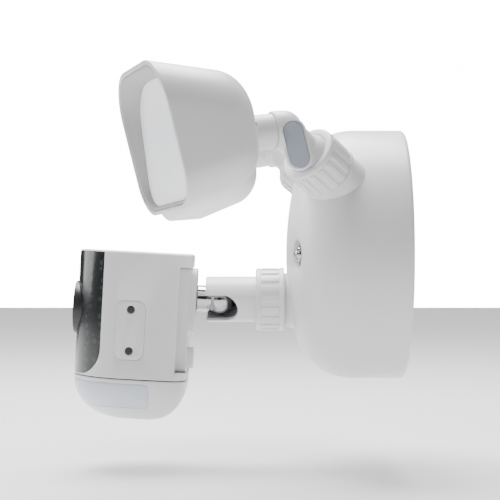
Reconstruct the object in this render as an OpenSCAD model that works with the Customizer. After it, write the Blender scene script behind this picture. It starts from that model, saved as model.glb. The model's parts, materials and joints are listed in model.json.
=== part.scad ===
// Floodlight security camera: two hooded lamps and a camera on a round wall base.
// The wall is the plane y = 0, the lamps and the camera face -Y, and +Z is up.

/* [Base] */
// Radius of the base
base_r = 74; // [68:0.5:90]
// Depth from the wall to the top of the dome
base_depth = 69.5; // [62:0.5:84]
// Radius of the corner between the side wall and the dome
base_corner_r = 34; // [28:1:41]
// Radius of the domed front
dome_r = 204; // [160:1:260]
// Wall thickness of the base
base_wall = 3; // [2.4:0.1:3.6]
// Rounding of the rear edge
rear_edge_r = 2.4; // [1:0.1:2.4]
// Depth of the wiring bay behind the back cover
bay_depth = 13; // [10:0.5:16]
// Radius of the hole for the house leads
lead_hole_r = 11; // [8:0.5:14]

/* [Wall bracket] */
// Distance between the two bracket studs
stud_spacing = 88.9; // [70:0.1:90]
// Radius of a bracket stud
stud_r = 2; // [1.5:0.1:2.5]
// Nearest and farthest box screw spacings that the slots accept
box_spacing_min = 69.85; // [66:0.05:74]
box_spacing_max = 88.9; // [80:0.05:96]
// Half the width of a box screw slot
slot_r = 2.3; // [2:0.1:3]
// Thickness of the steel bracket
bracket_t = 2; // [1.5:0.1:2.5]
// Radius of the cap nut recess in the dome
recess_r = 8.8; // [7.4:0.1:10]
// Depth of the cap nut recess
recess_depth = 6; // [4:0.5:8]

/* [Lock nuts] */
// Outer radius of the camera nut, over its ribs
camera_nut_r = 19; // [17.6:0.1:23]
// Outer radius of a lamp nut, over its ribs
lamp_nut_r = 17; // [16.4:0.1:20]
// Number of grip ribs
nut_ribs = 18; // [12:1:24]
// Length of the camera lock nut
camera_nut_len = 16.8; // [15:0.1:20]
// Length of a lamp lock nut
lamp_nut_len = 22; // [20:0.5:26]
// Radius of the camera's threaded spigot
camera_spigot_r = 15.5; // [14.6:0.1:16.4]
// Radius of a lamp's threaded spigot
lamp_spigot_r = 14.4; // [14.2:0.1:15]

/* [Lamp arms] */
// Radius of the arm's ball
arm_ball_r = 12.8; // [12:0.1:13]
// Radius of the arm beside its ball
arm_r = 9.4; // [8:0.1:9.8]
// Radius of the elbow
elbow_r = 11; // [10.4:0.1:12]
// Radius of the lamp's neck
neck_r = 9.8; // [8.6:0.1:10.2]
// Length of the arm from the ball to the elbow
arm_len = 25.3; // [24:0.1:31]
// Length from the elbow to the lamp
neck_len = 25; // [23:0.5:31]
// Height of an arm cap
cap_height = 25.6; // [20:0.1:27]
// Width of an arm cap
cap_width = 11; // [8:0.1:13]

/* [Lamps] */
// Width of a lamp
lamp_w = 90; // [84:1:108]
// Height of the hood at its mouth
lamp_h = 79; // [68:1:95]
// Depth from the rear face to the middle of the mouth
lamp_depth = 50.5; // [47:0.5:61]
// Wall thickness of the lamp shell
lamp_wall = 2.2; // [1.8:0.1:2.8]
// Backward lean of the mouth, in degrees
mouth_lean = 6.7; // [4:0.1:12]
// Outward turn of a lamp, in degrees
lamp_yaw = 20; // [10:0.5:24]
// Downward pitch of a lamp, in degrees
lamp_pitch = 7; // [0:0.5:10]
// Roll of a lamp, its outer side raised, in degrees
lamp_roll = 2.8; // [0:0.1:4]
// Depth of the diffuser behind the middle of the mouth
diffuser_recess = 7.5; // [5:0.5:12]
// Thickness of the diffuser
diffuser_t = 2; // [1.5:0.1:3]

/* [Camera arm] */
// Height of the camera arm's axis
arm_z = -27; // [-30:0.5:-20]
// Radius of the socket tube
socket_r = 13.6; // [12.6:0.1:14.8]
// Length of the socket tube beyond the lock nut
socket_len = 29.8; // [26:0.2:36]
// Radius of the ball
ball_r = 9.3; // [8.8:0.1:10]
// Radius of the stem
stem_r = 7.8; // [6.8:0.1:8]
// Half the width of the slot in the tube
swing_slot_r = 8.2; // [8.1:0.1:9]
// Direction of the slot below the horizontal, in degrees
slot_angle = 28; // [0:1:90]

/* [Camera] */
// Half the width of the camera, and the radius of its front
camera_r = 33; // [31:0.5:40]
// Distance from the ball to the front of the camera
camera_front = 84.6; // [80:0.2:101]
// Distance from the ball to the rear of the camera
camera_rear = 16.7; // [16.2:0.1:20]
// Height of the camera above the ball
camera_top = 26; // [24:0.5:31]
// Depth of the camera below the ball
camera_bottom = 73; // [70:0.5:88]
// Height of the bottom cap
cap_h = 24.9; // [22:0.1:28]
// Wall thickness of the camera
camera_wall = 2.8; // [2.4:0.1:3.4]
// Upward pitch of the camera, in degrees
camera_pitch = 3; // [0:0.5:4]
// Half angle of the black front panel, in degrees
panel_angle = 61; // [50:1:66]
// Thickness of the front panel
panel_t = 1.3; // [1:0.1:1.5]
// Radius of the lens bezel
bezel_r = 15.7; // [14:0.1:18]
// Depth of the lens axis below the ball
lens_drop = 8.9; // [6:0.1:12]
// Width of the side cover
side_cover_w = 17.2; // [14:0.1:20]
// Height of the side cover
side_cover_h = 34.4; // [30:0.1:40]

/* [Fits] */
// Running fit, on the radius
run_gap = 0.08; // [0.03:0.01:0.1]
// Gap between pieces that move past each other
move_gap = 0.4; // [0.3:0.05:0.5]
// Gap between pieces that are assembled and stay still
seat_gap = 0.1; // [0.05:0.05:0.2]

/* [Hidden] */
$fn = 64;
arc_steps = 8;

// Base: the corner circle touches the dome circle from inside.
corner_x = base_r - base_corner_r;
dome_drop = dome_r - sqrt(pow(dome_r - base_corner_r, 2) - corner_x * corner_x);
corner_y = base_depth - dome_drop;
dome_y = base_depth - dome_r;
dome_lean = asin(corner_x / (dome_r - base_corner_r));
cover_t = 2.5;
cover_y = bay_depth;
cover_r = base_r - base_wall - 0.5;
tray_wall = 3.5;
gasket_t = 3;
post_r = 4;
post_ring_r = base_r - base_wall - 9;
stud_x = stud_spacing / 2;
stud_tube_r = 6.5;
stud_hole_r = stud_r + 0.6;
recess_floor = dome_y + sqrt(dome_r * dome_r - stud_x * stud_x) - recess_depth;
slot_mid = (box_spacing_min + box_spacing_max) / 4;
slot_half = (box_spacing_max - box_spacing_min) / 4;
cap_nut_r = 5.8;
board_y = cover_y + cover_t + 8;
board_t = 1.6;

rib_h = 1;
rib_w = 3;
rim_w = 2.4;

// Lamp arm: the nut's rear ring centre and its axis set the ball, the elbow and the lamp.
boss_at = [base_r - 18, -46.3, 45.1];
boss_dir = [0.60, -0.613, 0.514] / norm([0.60, -0.613, 0.514]);
boss_r = 15.6;
spigot_len = 12.4;
spigot_bore_r = arm_ball_r - 0.1;
arm_ball_s = lamp_nut_len - 4.7;
lamp_fwd = [sin(lamp_yaw) * cos(lamp_pitch), -cos(lamp_yaw) * cos(lamp_pitch), -sin(lamp_pitch)];
arm_ball_at = boss_at + boss_dir * arm_ball_s;
arm_dir = [0.522, -0.648, 0.557] / norm([0.522, -0.648, 0.557]);
elbow_at = arm_ball_at + arm_dir * arm_len;
lamp_at = elbow_at + lamp_fwd * neck_len;
cheek_at = arm_ball_at + arm_dir * arm_len * 0.56 - [0, 0, 2];
cap_t = 1.2;
cheek_x = elbow_r + 1.4;
collar_len = 6.5;
tenon_r = 6.4;
tenon_end = 3.2;
wire_r = 3.5;

// Lamp: half heights at the rear, from the tapers of its top, bottom and sides.
top_taper = 11;
bottom_taper = 13;
side_taper = 7;
lamp_mid_z = 2.2;
mouth_top = lamp_mid_z + lamp_h / 2;
mouth_bottom = lamp_mid_z - lamp_h / 2;
mouth_top_y = lamp_depth + lamp_h / 2 * tan(mouth_lean);
mouth_bottom_y = lamp_depth - lamp_h / 2 * tan(mouth_lean);
rear_top = mouth_top - mouth_top_y * tan(top_taper);
rear_bottom = mouth_bottom + mouth_bottom_y * tan(bottom_taper);
rear_half_w = lamp_w / 2 - lamp_depth * tan(side_taper);
lamp_rear_r = 17;
lamp_top_r = 26;
lamp_bottom_r = 19;
diffuser_y = lamp_depth - diffuser_recess;
frame_t = 2;
ledge_w = 3;
led_board_y = diffuser_y - 15;
sink_t = 3;

// Camera arm
camera_boss_r = 15.7;
nut_rear_y = 71 + base_depth - 69.5;
nut_front_y = nut_rear_y + camera_nut_len;
flange_r = camera_spigot_r - 0.4;
flange_t = 2;
nut_lip = 5.4;
camera_spigot_y = nut_front_y - nut_lip - flange_t - 2 * move_gap;
socket_end_y = nut_front_y + socket_len;
ball_y = socket_end_y - 8.1;
slot_end_y = ball_y - 10.7;
liner_len = 20;
liner_r = ball_r + 1.9;
mouth_r = stem_r + 0.7;
stem_end = 13.6;
stem_pin_r = 5;
clip_r = 7;

// Camera body, measured from the ball along the stem
front_c = camera_front - camera_r;
rear_corner_r = 13;
notch_y = 23.8;
notch_top = 18.2;
notch_bottom = -43.6;
seam_z = cap_h - camera_bottom;
cap_front_r = 26;
cap_rear_r = 21;
cap_side_r = 22;
edge_r = 1.5;
panel_top = camera_top - 1;
panel_bottom = seam_z + 1.4;
panel_corner_r = 15;
bezel_front = camera_front + 1.6;
window_half = 20;
side_z = -19.6;
side_y = 50.4;
side_screw_z = 12;
side_corner_r = 5;
pir_rear = 38;
pir_top = seam_z - 2.7;
pir_bottom = seam_z - 16.9;
pir_t = 0.9;
pir_z = (pir_top + pir_bottom) / 2;
bracket_w = 40;
bracket_r = 8;
block_w = 30;
main_board_y = 36;
gap_z = 0.3;

// ---- Outlines ----

// Points of an arc about c, from angle a to angle b.
function arc(c, r, a, b, steps = arc_steps) =
    [for (i = [0:steps]) let (t = a + (b - a) * i / steps) c + r * [cos(t), sin(t)]];

function unit(v) = v / norm(v);

// A closed outline with each corner rounded by its own radius; corners run counter-clockwise.
function rounded(pts, radii) = [
    for (i = [0:len(pts) - 1])
        let (
            p = pts[i],
            a = unit(pts[(i + len(pts) - 1) % len(pts)] - p),
            b = unit(pts[(i + 1) % len(pts)] - p),
            half = acos(a * b) / 2,
            c = p + unit(a + b) * radii[i] / sin(half),
            start = atan2(-a[0], a[1]) + 180,
            turn = 180 - 2 * half
        )
        each (radii[i] <= 0 ? [p] : arc(c, radii[i], start, start + turn))
];

function rect(x0, y0, x1, y1) = [[x0, y0], [x1, y0], [x1, y1], [x0, y1]];

module rounded_rect(x0, y0, x1, y1, r) {
    polygon(rounded(rect(x0, y0, x1, y1), [r, r, r, r]));
}

// ---- Places ----

// Local +Z runs from the wall towards the front.
module facing_front() {
    rotate([90, 0, 0]) children();
}

// Local +Z runs along a direction v.
module along(v) {
    rotate([0, acos(v[2] / norm(v)), atan2(v[1], v[0])]) children();
}

module at_boss() {
    translate(boss_at) along(boss_dir) children();
}

// Lamp frame: origin at the middle of the neck's end, front along -Y.
module at_lamp() {
    translate(lamp_at) rotate([lamp_pitch, 0, lamp_yaw]) rotate([0, -lamp_roll, 0]) children();
}

// Camera arm frame: local +Z runs along the arm from the wall, local +X to the slot.
module at_camera_arm() {
    translate([0, 0, arm_z]) rotate([0, slot_angle, 0]) facing_front() children();
}

// Camera frame: origin at the ball, front along -Y.
module at_camera() {
    translate([0, -ball_y, arm_z]) rotate([-camera_pitch, 0, 0]) children();
}

module both_sides() {
    children();
    mirror([1, 0, 0]) children();
}

// Extrusions along the three axes of a frame
module along_x(x0, x1) {
    translate([x0, 0, 0]) rotate([90, 0, 90]) linear_extrude(x1 - x0) children();
}

module along_y(y0, y1) {
    translate([0, y1, 0]) rotate([90, 0, 0]) linear_extrude(y1 - y0) children();
}

module along_z(z0, z1) {
    translate([0, 0, z0]) linear_extrude(z1 - z0) children();
}

// ---- Base ----

// Section of the base: radius across, distance from the wall up.
function dome_outline(inset, rear) = concat(
    [[0, rear], [base_r - inset, rear]],
    arc([corner_x, corner_y], base_corner_r - inset, 0, 90 - dome_lean, 12),
    arc([0, dome_y], dome_r - inset, 90 - dome_lean, 90, 6)
);

module base_outer() {
    difference() {
        rotate_extrude($fn = 128) polygon(dome_outline(0, 0));
        rotate_extrude($fn = 128)
            difference() {
                translate([base_r - rear_edge_r, -1]) square([rear_edge_r + 1, rear_edge_r + 1]);
                translate([base_r - rear_edge_r, rear_edge_r]) circle(rear_edge_r);
            }
    }
}

module cover_post_places() {
    for (a = [45:90:315]) rotate(a) translate([post_ring_r, 0, 0]) children();
}

module stud_places() {
    for (x = [-stud_x, stud_x]) translate([x, 0, 0]) children();
}

module base_housing() {
    post_y = cover_y + cover_t;
    color("whitesmoke") difference() {
        union() {
            facing_front() difference() {
                base_outer();
                rotate_extrude($fn = 128) polygon(dome_outline(base_wall, -1));
            }
            intersection() {
                facing_front() union() {
                    stud_places() translate([0, 0, post_y]) cylinder(r = stud_tube_r, h = base_depth);
                    stud_places() translate([0, 0, recess_floor - 3])
                        cylinder(r = recess_r + 2, h = base_depth);
                    cover_post_places() translate([0, 0, post_y]) cylinder(r = post_r, h = base_depth);
                }
                facing_front() rotate_extrude($fn = 128) polygon(dome_outline(1, 0));
            }
            both_sides() at_boss() {
                translate([0, 0, -14]) cylinder(r = boss_r, h = 13.6);
                translate([0, 0, -1]) cylinder(r = lamp_spigot_r, h = 1 + spigot_len);
            }
            at_camera_arm() {
                translate([0, 0, nut_rear_y - 10]) cylinder(r = camera_boss_r, h = 9.6);
                translate([0, 0, nut_rear_y - 2]) cylinder(r = camera_spigot_r, h = camera_spigot_y - nut_rear_y + 2);
            }
        }
        both_sides() at_boss() {
            translate([0, 0, 1]) cylinder(r = spigot_bore_r, h = spigot_len + 1);
            translate([0, 0, -30]) cylinder(r = 8, h = 32);
        }
        at_camera_arm() translate([0, 0, nut_rear_y - 25]) cylinder(r = 10.5, h = 40);
        facing_front() stud_places() {
            translate([0, 0, recess_floor]) cylinder(r = recess_r, h = 20);
            cylinder(r = stud_hole_r, h = base_depth);
        }
        facing_front() cover_post_places() cylinder(r = 1.3, h = post_y + 10);
    }
}

module back_cover() {
    color("white") facing_front() difference() {
        union() {
            translate([0, 0, cover_y]) cylinder(r = cover_r, h = cover_t, $fn = 128);
            translate([0, 0, gasket_t]) difference() {
                cylinder(r = cover_r, h = cover_y, $fn = 128);
                translate([0, 0, -1]) cylinder(r = cover_r - tray_wall, h = cover_y + 2, $fn = 128);
            }
        }
        translate([0, 0, cover_y - 1]) cylinder(r = lead_hole_r, h = cover_t + 2);
        stud_places() translate([0, 0, cover_y - 1]) cylinder(r = stud_hole_r, h = cover_t + 2);
        cover_post_places() translate([0, 0, cover_y - 1]) cylinder(r = 1.8, h = cover_t + 2);
    }
}

module wall_gasket() {
    color("dimgray") facing_front() difference() {
        cylinder(r = cover_r, h = gasket_t, $fn = 128);
        translate([0, 0, -1]) cylinder(r = cover_r - tray_wall, h = gasket_t + 2, $fn = 128);
    }
}

module cover_screws() {
    color("silver") facing_front() cover_post_places() {
        translate([0, 0, cover_y - 2]) cylinder(r = 3, h = 2);
        translate([0, 0, cover_y - 0.5]) cylinder(r = 1.25, h = cover_t + 9);
    }
}

module lead_grommet() {
    color("dimgray") facing_front() translate([0, 0, cover_y]) difference() {
        union() {
            translate([0, 0, -1.5]) cylinder(r = lead_hole_r + 2, h = 1.5);
            translate([0, 0, -0.5]) cylinder(r = lead_hole_r - seat_gap, h = cover_t + 1);
            translate([0, 0, cover_t]) cylinder(r = lead_hole_r + 1.6, h = 1.5);
        }
        translate([0, 0, -2]) cylinder(r = lead_hole_r - 4, h = cover_t + 5);
    }
}

module mount_bracket() {
    bar_half = slot_mid + slot_half + slot_r + 4;
    color("silver") facing_front() linear_extrude(bracket_t) difference() {
        union() {
            circle(24);
            rounded_rect(-stud_x - 8, -9, stud_x + 8, 9, 5);
            rounded_rect(-9, -bar_half, 9, bar_half, 5);
        }
        circle(14);
        for (s = [-1, 1]) translate([0, s * slot_mid]) {
            translate([-slot_r, -slot_half]) square([2 * slot_r, 2 * slot_half]);
            for (e = [-1, 1]) translate([0, e * slot_half]) circle(slot_r);
        }
        stud_places() circle(stud_r);
        translate([19, 0]) circle(1.6);
    }
}

module bracket_studs() {
    color("silver") facing_front() stud_places() {
        cylinder(r = stud_r, h = recess_floor + 5);
        translate([0, 0, bracket_t]) cylinder(r = 4, h = 2.4, $fn = 6);
    }
}

module cap_nuts() {
    color("gainsboro") facing_front() stud_places() translate([0, 0, recess_floor]) difference() {
        union() {
            cylinder(r = cap_nut_r, h = 3, $fn = 6);
            translate([0, 0, 2]) cylinder(r = 4.6, h = 2.6);
            translate([0, 0, 4.6]) intersection() {
                translate([0, 0, -2]) sphere(5.02);
                cylinder(r = 4.6, h = 4);
            }
        }
        translate([0, 0, -1]) cylinder(r = stud_r, h = 6);
    }
}

module ground_screw() {
    color("green") facing_front() translate([19, 0, 0]) {
        cylinder(r = 1.6, h = bracket_t);
        translate([0, 0, bracket_t]) cylinder(r = 4, h = 2, $fn = 6);
    }
}

module driver_board() {
    color("darkgreen") facing_front() translate([0, 0, board_y]) linear_extrude(board_t) difference() {
        rounded_rect(-34, -52, 34, 4, 3);
        circle(r = lead_hole_r + 2);
    }
}

module transformer() {
    color("goldenrod") facing_front() translate([-12, -30, board_y + board_t]) {
        translate([-11, -9, 0]) cube([22, 18, 6]);
        translate([-8, -12, 6]) cube([16, 24, 10]);
    }
}

module filter_capacitors() {
    color("darkslateblue") facing_front() translate([0, 0, board_y + board_t]) {
        translate([14, -40, 0]) cylinder(r = 6, h = 20);
        translate([28, -40, 0]) cylinder(r = 5, h = 16);
        translate([-28, -12, 0]) cylinder(r = 5, h = 16);
    }
}

module terminal_block() {
    color("darkorange") facing_front() translate([12, -26, board_y + board_t]) difference() {
        cube([21, 12, 11]);
        for (x = [4:6.5:17]) translate([x, 6, 4]) cylinder(r = 2, h = 8);
    }
}

// ---- Lock nuts ----

// A ribbed nut along +Z. Its rear ring is at z = 0 and mouth is the space inside its lip.
module lock_nut_body(r, len) {
    valley = r - rib_h;
    difference() {
        union() {
            rotate_extrude() polygon([
                [0, 0], [r - 0.5, 0], [r, 0.5], [r, rim_w], [valley, rim_w + rib_h],
                [valley, len - rim_w - rib_h], [r - 0.4, len - rim_w], [r - 0.4, len - 0.8],
                [r - 1.2, len], [0, len]
            ]);
            for (i = [0:nut_ribs - 1]) rotate((i + 0.5) * 360 / nut_ribs) intersection() {
                translate([valley - 1, -rib_w / 2, 1]) cube([4, rib_w, len - 2]);
                cylinder(r = r - 0.2, h = len - 1);
            }
        }
        children();
    }
}

module lamp_lock_nut() {
    color("whitesmoke") at_boss() lock_nut_body(lamp_nut_r, lamp_nut_len) {
        translate([0, 0, -1]) cylinder(r = lamp_spigot_r + run_gap, h = spigot_len + 3.4);
        translate([0, 0, arm_ball_s]) sphere(arm_ball_r + move_gap);
    }
}

module right_lock_nut() {
    lamp_lock_nut();
}

module left_lock_nut() {
    mirror([1, 0, 0]) lamp_lock_nut();
}

module camera_lock_nut() {
    color("whitesmoke") at_camera_arm() translate([0, 0, nut_rear_y]) lock_nut_body(camera_nut_r, camera_nut_len) {
        translate([0, 0, -1]) cylinder(r = camera_spigot_r + run_gap, h = camera_nut_len - nut_lip + 1);
        cylinder(r = socket_r + move_gap, h = camera_nut_len + 1);
    }
}

// ---- Lamp arms ----

module ball_seat() {
    cup_r = spigot_bore_r - run_gap;
    color("gray") at_boss() difference() {
        union() {
            translate([0, 0, 5]) cylinder(r = cup_r, h = spigot_len - 4);
            translate([0, 0, spigot_len + move_gap]) cylinder(r = lamp_spigot_r - 0.4, h = 1.4);
        }
        translate([0, 0, arm_ball_s]) sphere(arm_ball_r + run_gap);
        translate([0, 0, 4]) cylinder(r = 6.5, h = 4);
    }
}

module arm_cap_outline(grow) {
    straight = (cap_height - cap_width) / 2;
    rotate(14) {
        translate([-cap_width / 2 - grow, -straight]) square([cap_width + 2 * grow, 2 * straight]);
        for (s = [-1, 1]) translate([0, s * straight]) circle(cap_width / 2 + grow);
    }
}

// The elbow has one flat cheek, on its outer side.
module arm_body() {
    color("whitesmoke") difference() {
        union() {
            translate(arm_ball_at) along(arm_dir) sphere(arm_ball_r);
            translate(arm_ball_at) along(arm_dir) cylinder(r = arm_r, h = arm_len);
            translate(elbow_at) along(arm_dir) sphere(elbow_r);
            translate(elbow_at) along(lamp_fwd) cylinder(r = elbow_r - 0.05, h = collar_len + 1);
            difference() {
                translate(cheek_at) along_x(0, cheek_x) arm_cap_outline(1.6);
                at_boss() cylinder(r = lamp_nut_r + 1, h = lamp_nut_len + 1);
            }
        }
        translate(arm_ball_at - boss_dir * arm_ball_r * 1.2) along(boss_dir)
            cylinder(r = wire_r, h = arm_ball_r * 1.2);
        translate(arm_ball_at) along(arm_dir) cylinder(r = wire_r, h = arm_len);
        translate(arm_ball_at) along(arm_dir) sphere(wire_r + 0.1);
        translate(elbow_at) along(arm_dir) sphere(wire_r + 0.1);
        translate(elbow_at) along(lamp_fwd) {
            cylinder(r = wire_r, h = collar_len);
            translate([0, 0, tenon_end - 0.5]) cylinder(r = tenon_r + seat_gap, h = collar_len);
            translate([0, 0, collar_len]) cylinder(r = elbow_r + 1, h = elbow_r);
        }
        translate(cheek_at) along_x(cheek_x - cap_t, cheek_x + elbow_r) arm_cap_outline(seat_gap);
    }
}

module arm_cap() {
    color("lightslategray") translate(cheek_at)
        along_x(cheek_x - cap_t, cheek_x + 0.2) arm_cap_outline(0);
}

// ---- Lamps ----

// The lamp's solid, pulled in all round by inset; front gives how far its mouth reaches.
module lamp_solid(inset, rear, front) {
    rr = lamp_rear_r - inset;
    rt = lamp_top_r - inset;
    rb = lamp_bottom_r - inset;
    side_pts = [
        [-mouth_bottom_y - front, mouth_bottom + inset - front * tan(bottom_taper)],
        [-rear, rear_bottom + inset],
        [-rear, rear_top - inset],
        [-mouth_top_y - front, mouth_top - inset + front * tan(top_taper)]
    ];
    half = lamp_w / 2 - inset;
    rear_half = rear_half_w - inset;
    plan_pts = [
        [-half - 20 * tan(side_taper), -lamp_depth - 20],
        [half + 20 * tan(side_taper), -lamp_depth - 20],
        [rear_half, -rear],
        [-rear_half, -rear]
    ];
    intersection() {
        along_x(-lamp_w, lamp_w) polygon(rounded(side_pts, [0, rr, rr, 0]));
        along_z(-lamp_h, lamp_h) polygon(rounded(plan_pts, [0, 0, rr, rr]));
        along_y(-lamp_depth * 2, 1)
            polygon(rounded(rect(-half, mouth_bottom + inset, half, mouth_top - inset), [rb, rb, rt, rt]));
    }
}

module lamp_shell() {
    neck = neck_len - collar_len - seat_gap;
    color("white") at_lamp() difference() {
        union() {
            lamp_solid(0, 0, 0);
            rotate([-90, 0, 0]) translate([0, 0, -1]) cylinder(r = neck_r, h = neck + 1);
            rotate([-90, 0, 0]) cylinder(r = tenon_r, h = neck + collar_len - tenon_end);
        }
        lamp_solid(lamp_wall, lamp_wall, 2);
        rotate([-90, 0, 0]) translate([0, 0, -lamp_wall - 1]) cylinder(r = wire_r, h = 60);
        lamp_screw_places() rotate([90, 0, 0]) translate([0, 0, -2]) cylinder(r = 1.8, h = lamp_wall + 4);
    }
}

module lamp_screw_places() {
    for (x = [-20, 20]) translate([x, 0, lamp_mid_z]) children();
}

// The frame lines the hood, and the diffuser rests on its ledge.
module front_frame() {
    color("lightgray") at_lamp() difference() {
        intersection() {
            lamp_solid(lamp_wall + seat_gap, lamp_wall, 0);
            along_y(-lamp_depth * 2, -diffuser_y + 5) square([2 * lamp_w, 2 * lamp_h], center = true);
        }
        intersection() {
            lamp_solid(lamp_wall + frame_t, lamp_wall, 2);
            along_y(-lamp_depth * 2, -diffuser_y + diffuser_t + seat_gap)
                square([2 * lamp_w, 2 * lamp_h], center = true);
        }
        lamp_solid(lamp_wall + frame_t + ledge_w, lamp_wall, 2);
    }
}

module diffuser() {
    color("white", 0.9) at_lamp() intersection() {
        lamp_solid(lamp_wall + frame_t + seat_gap, lamp_wall, 0);
        along_y(-diffuser_y, -diffuser_y + diffuser_t) square([2 * lamp_w, 2 * lamp_h], center = true);
    }
}

module reflector() {
    half_w = lamp_w / 2 - 12;
    half_h = lamp_h / 2 - 12;
    depth = diffuser_y - diffuser_t - 1 - led_board_y;
    color("white") at_lamp() translate([0, -led_board_y, lamp_mid_z]) difference() {
        along_y(-depth, 0) rounded_rect(-half_w, -half_h, half_w, half_h, 8);
        along_y(-depth - 1, -1.2) rounded_rect(-half_w + 2, -half_h + 2, half_w - 2, half_h - 2, 6);
        for (x = [-18, 0, 18]) for (z = [-12, 12])
            translate([x, 1, z]) rotate([90, 0, 0]) cylinder(r = 4, h = 4);
    }
}

module led_board() {
    color("ivory") at_lamp() translate([0, -led_board_y, lamp_mid_z]) {
        translate([-29, 0, -19]) cube([58, board_t, 38]);
        for (x = [-18, 0, 18]) for (z = [-12, 12]) translate([x - 2.5, -1, z - 2.5]) cube([5, 1, 5]);
    }
}

module heat_sink() {
    plate_y = board_t - led_board_y;
    color("silver") at_lamp() difference() {
        union() {
            translate([-30, plate_y, lamp_mid_z - 20]) cube([60, sink_t, 40]);
            for (x = [-28, -14, -7, 0, 7, 14, 28]) translate([x - 1, plate_y, lamp_mid_z - 18])
                cube([2, sink_t + 12, 36]);
            lamp_screw_places() along_y(plate_y, -lamp_wall - seat_gap) circle(3.5);
        }
        lamp_screw_places() along_y(plate_y + sink_t, 0) circle(1.5 + seat_gap);
    }
}

module lamp_screws() {
    color("silver") at_lamp() lamp_screw_places() rotate([90, 0, 0]) {
        translate([0, 0, -1.6]) cylinder(r = 3.2, h = 1.6);
        translate([0, 0, -0.5]) cylinder(r = 1.5, h = lamp_wall + 10);
    }
}

module right_ball_seat() { ball_seat(); }
module right_arm() { arm_body(); }
module right_arm_cap() { arm_cap(); }
module right_lamp_shell() { lamp_shell(); }
module right_front_frame() { front_frame(); }
module right_diffuser() { diffuser(); }
module right_reflector() { reflector(); }
module right_led_board() { led_board(); }
module right_heat_sink() { heat_sink(); }
module right_lamp_screws() { lamp_screws(); }

module left_ball_seat() { mirror([1, 0, 0]) ball_seat(); }
module left_arm() { mirror([1, 0, 0]) arm_body(); }
module left_arm_cap() { mirror([1, 0, 0]) arm_cap(); }
module left_lamp_shell() { mirror([1, 0, 0]) lamp_shell(); }
module left_front_frame() { mirror([1, 0, 0]) front_frame(); }
module left_diffuser() { mirror([1, 0, 0]) diffuser(); }
module left_reflector() { mirror([1, 0, 0]) reflector(); }
module left_led_board() { mirror([1, 0, 0]) led_board(); }
module left_heat_sink() { mirror([1, 0, 0]) heat_sink(); }
module left_lamp_screws() { mirror([1, 0, 0]) lamp_screws(); }

// ---- Camera arm ----

// The slot is cut from the tube's mouth back to a round end, on the +X side only.
module swing_slot(half) {
    end = slot_end_y + swing_slot_r;
    translate([0, -half, end]) cube([socket_r + 2, 2 * half, socket_len]);
    translate([0, 0, end]) rotate([0, 90, 0]) cylinder(r = half, h = socket_r + 2);
}

module camera_socket() {
    flange_y = camera_spigot_y + move_gap;
    color("whitesmoke") at_camera_arm() difference() {
        union() {
            translate([0, 0, flange_y]) cylinder(r = flange_r, h = flange_t);
            translate([0, 0, flange_y]) cylinder(r = socket_r, h = socket_end_y - flange_y);
        }
        translate([0, 0, flange_y - 1]) cylinder(r = 8, h = 60);
        translate([0, 0, socket_end_y - liner_len]) cylinder(r = liner_r + seat_gap, h = liner_len + 1);
        swing_slot(swing_slot_r);
    }
}

module socket_liner() {
    color("gray") at_camera_arm() difference() {
        translate([0, 0, socket_end_y - liner_len]) cylinder(r = liner_r, h = liner_len - 0.8);
        translate([0, 0, ball_y]) sphere(ball_r + run_gap);
        translate([0, 0, ball_y]) cylinder(r = mouth_r, h = 20);
        translate([0, 0, socket_end_y - liner_len - 1]) cylinder(r = 5, h = 20);
        swing_slot(swing_slot_r + 0.1);
    }
}

module ball_stem() {
    color("silver") at_camera() facing_front() difference() {
        union() {
            sphere(ball_r);
            cylinder(r = stem_r, h = stem_end);
            cylinder(r = stem_pin_r, h = notch_y + 2.4);
        }
        translate([0, 0, -ball_r]) cylinder(r = 2.5, h = notch_y + 20);
        translate([0, 0, notch_y + 0.6]) difference() {
            cylinder(r = stem_pin_r + 1, h = 1);
            translate([0, 0, -1]) cylinder(r = stem_pin_r - 0.7, h = 3);
        }
    }
}

module stem_clip() {
    color("dimgray") at_camera() facing_front() translate([0, 0, notch_y + 0.7]) difference() {
        cylinder(r = clip_r, h = 0.8);
        translate([0, 0, -1]) cylinder(r = stem_pin_r - 0.65, h = 3);
        translate([0, -2, -1]) cube([clip_r + 1, 4, 3]);
    }
}

// ---- Camera ----

// Plan of the camera: round front, flat sides, rounded rear corners.
function camera_plan(inset) = concat(
    arc([0, -front_c], camera_r - inset, 180, 360, 24),
    arc([camera_r - rear_corner_r, -camera_rear - rear_corner_r], rear_corner_r - inset, 0, 90, 6),
    arc([rear_corner_r - camera_r, -camera_rear - rear_corner_r], rear_corner_r - inset, 90, 180, 6)
);

// The whole camera as one solid, pulled in all round by inset.
module camera_solid(inset) {
    y0 = inset - camera_front;
    y1 = -camera_rear - inset;
    z0 = inset - camera_bottom;
    z1 = camera_top - inset;
    rf = cap_front_r - inset;
    rr = cap_rear_r - inset;
    rs = cap_side_r - inset;
    re = edge_r;
    intersection() {
        along_z(z0, z1) polygon(camera_plan(inset));
        along_x(-camera_r, camera_r) polygon(rounded(rect(y0, z0, y1, z1), [rf, rr, re, re]));
        along_y(-camera_front, -camera_rear)
            polygon(rounded(rect(inset - camera_r, z0, camera_r - inset, z1), [rs, rs, re, re]));
    }
}

module camera_slab(z0, z1) {
    translate([-camera_r - 1, -camera_front - 1, z0])
        cube([2 * camera_r + 2, camera_front - camera_rear + 2, z1 - z0]);
}

// Front view of the panel: its lower corners are rounded along the curved front.
function panel_edge(grow) =
    let (
        half = camera_r * panel_angle * PI / 180 + grow,
        low = panel_bottom - grow,
        r = panel_corner_r
    )
    [for (a = [0:7.5:90]) let (s = half - r + r * cos(a), z = low + r - r * sin(a))
        [camera_r * sin(s / camera_r * 180 / PI), z]];

function mirrored(pts) = [for (i = [len(pts) - 1:-1:0]) [-pts[i][0], pts[i][1]]];

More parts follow.
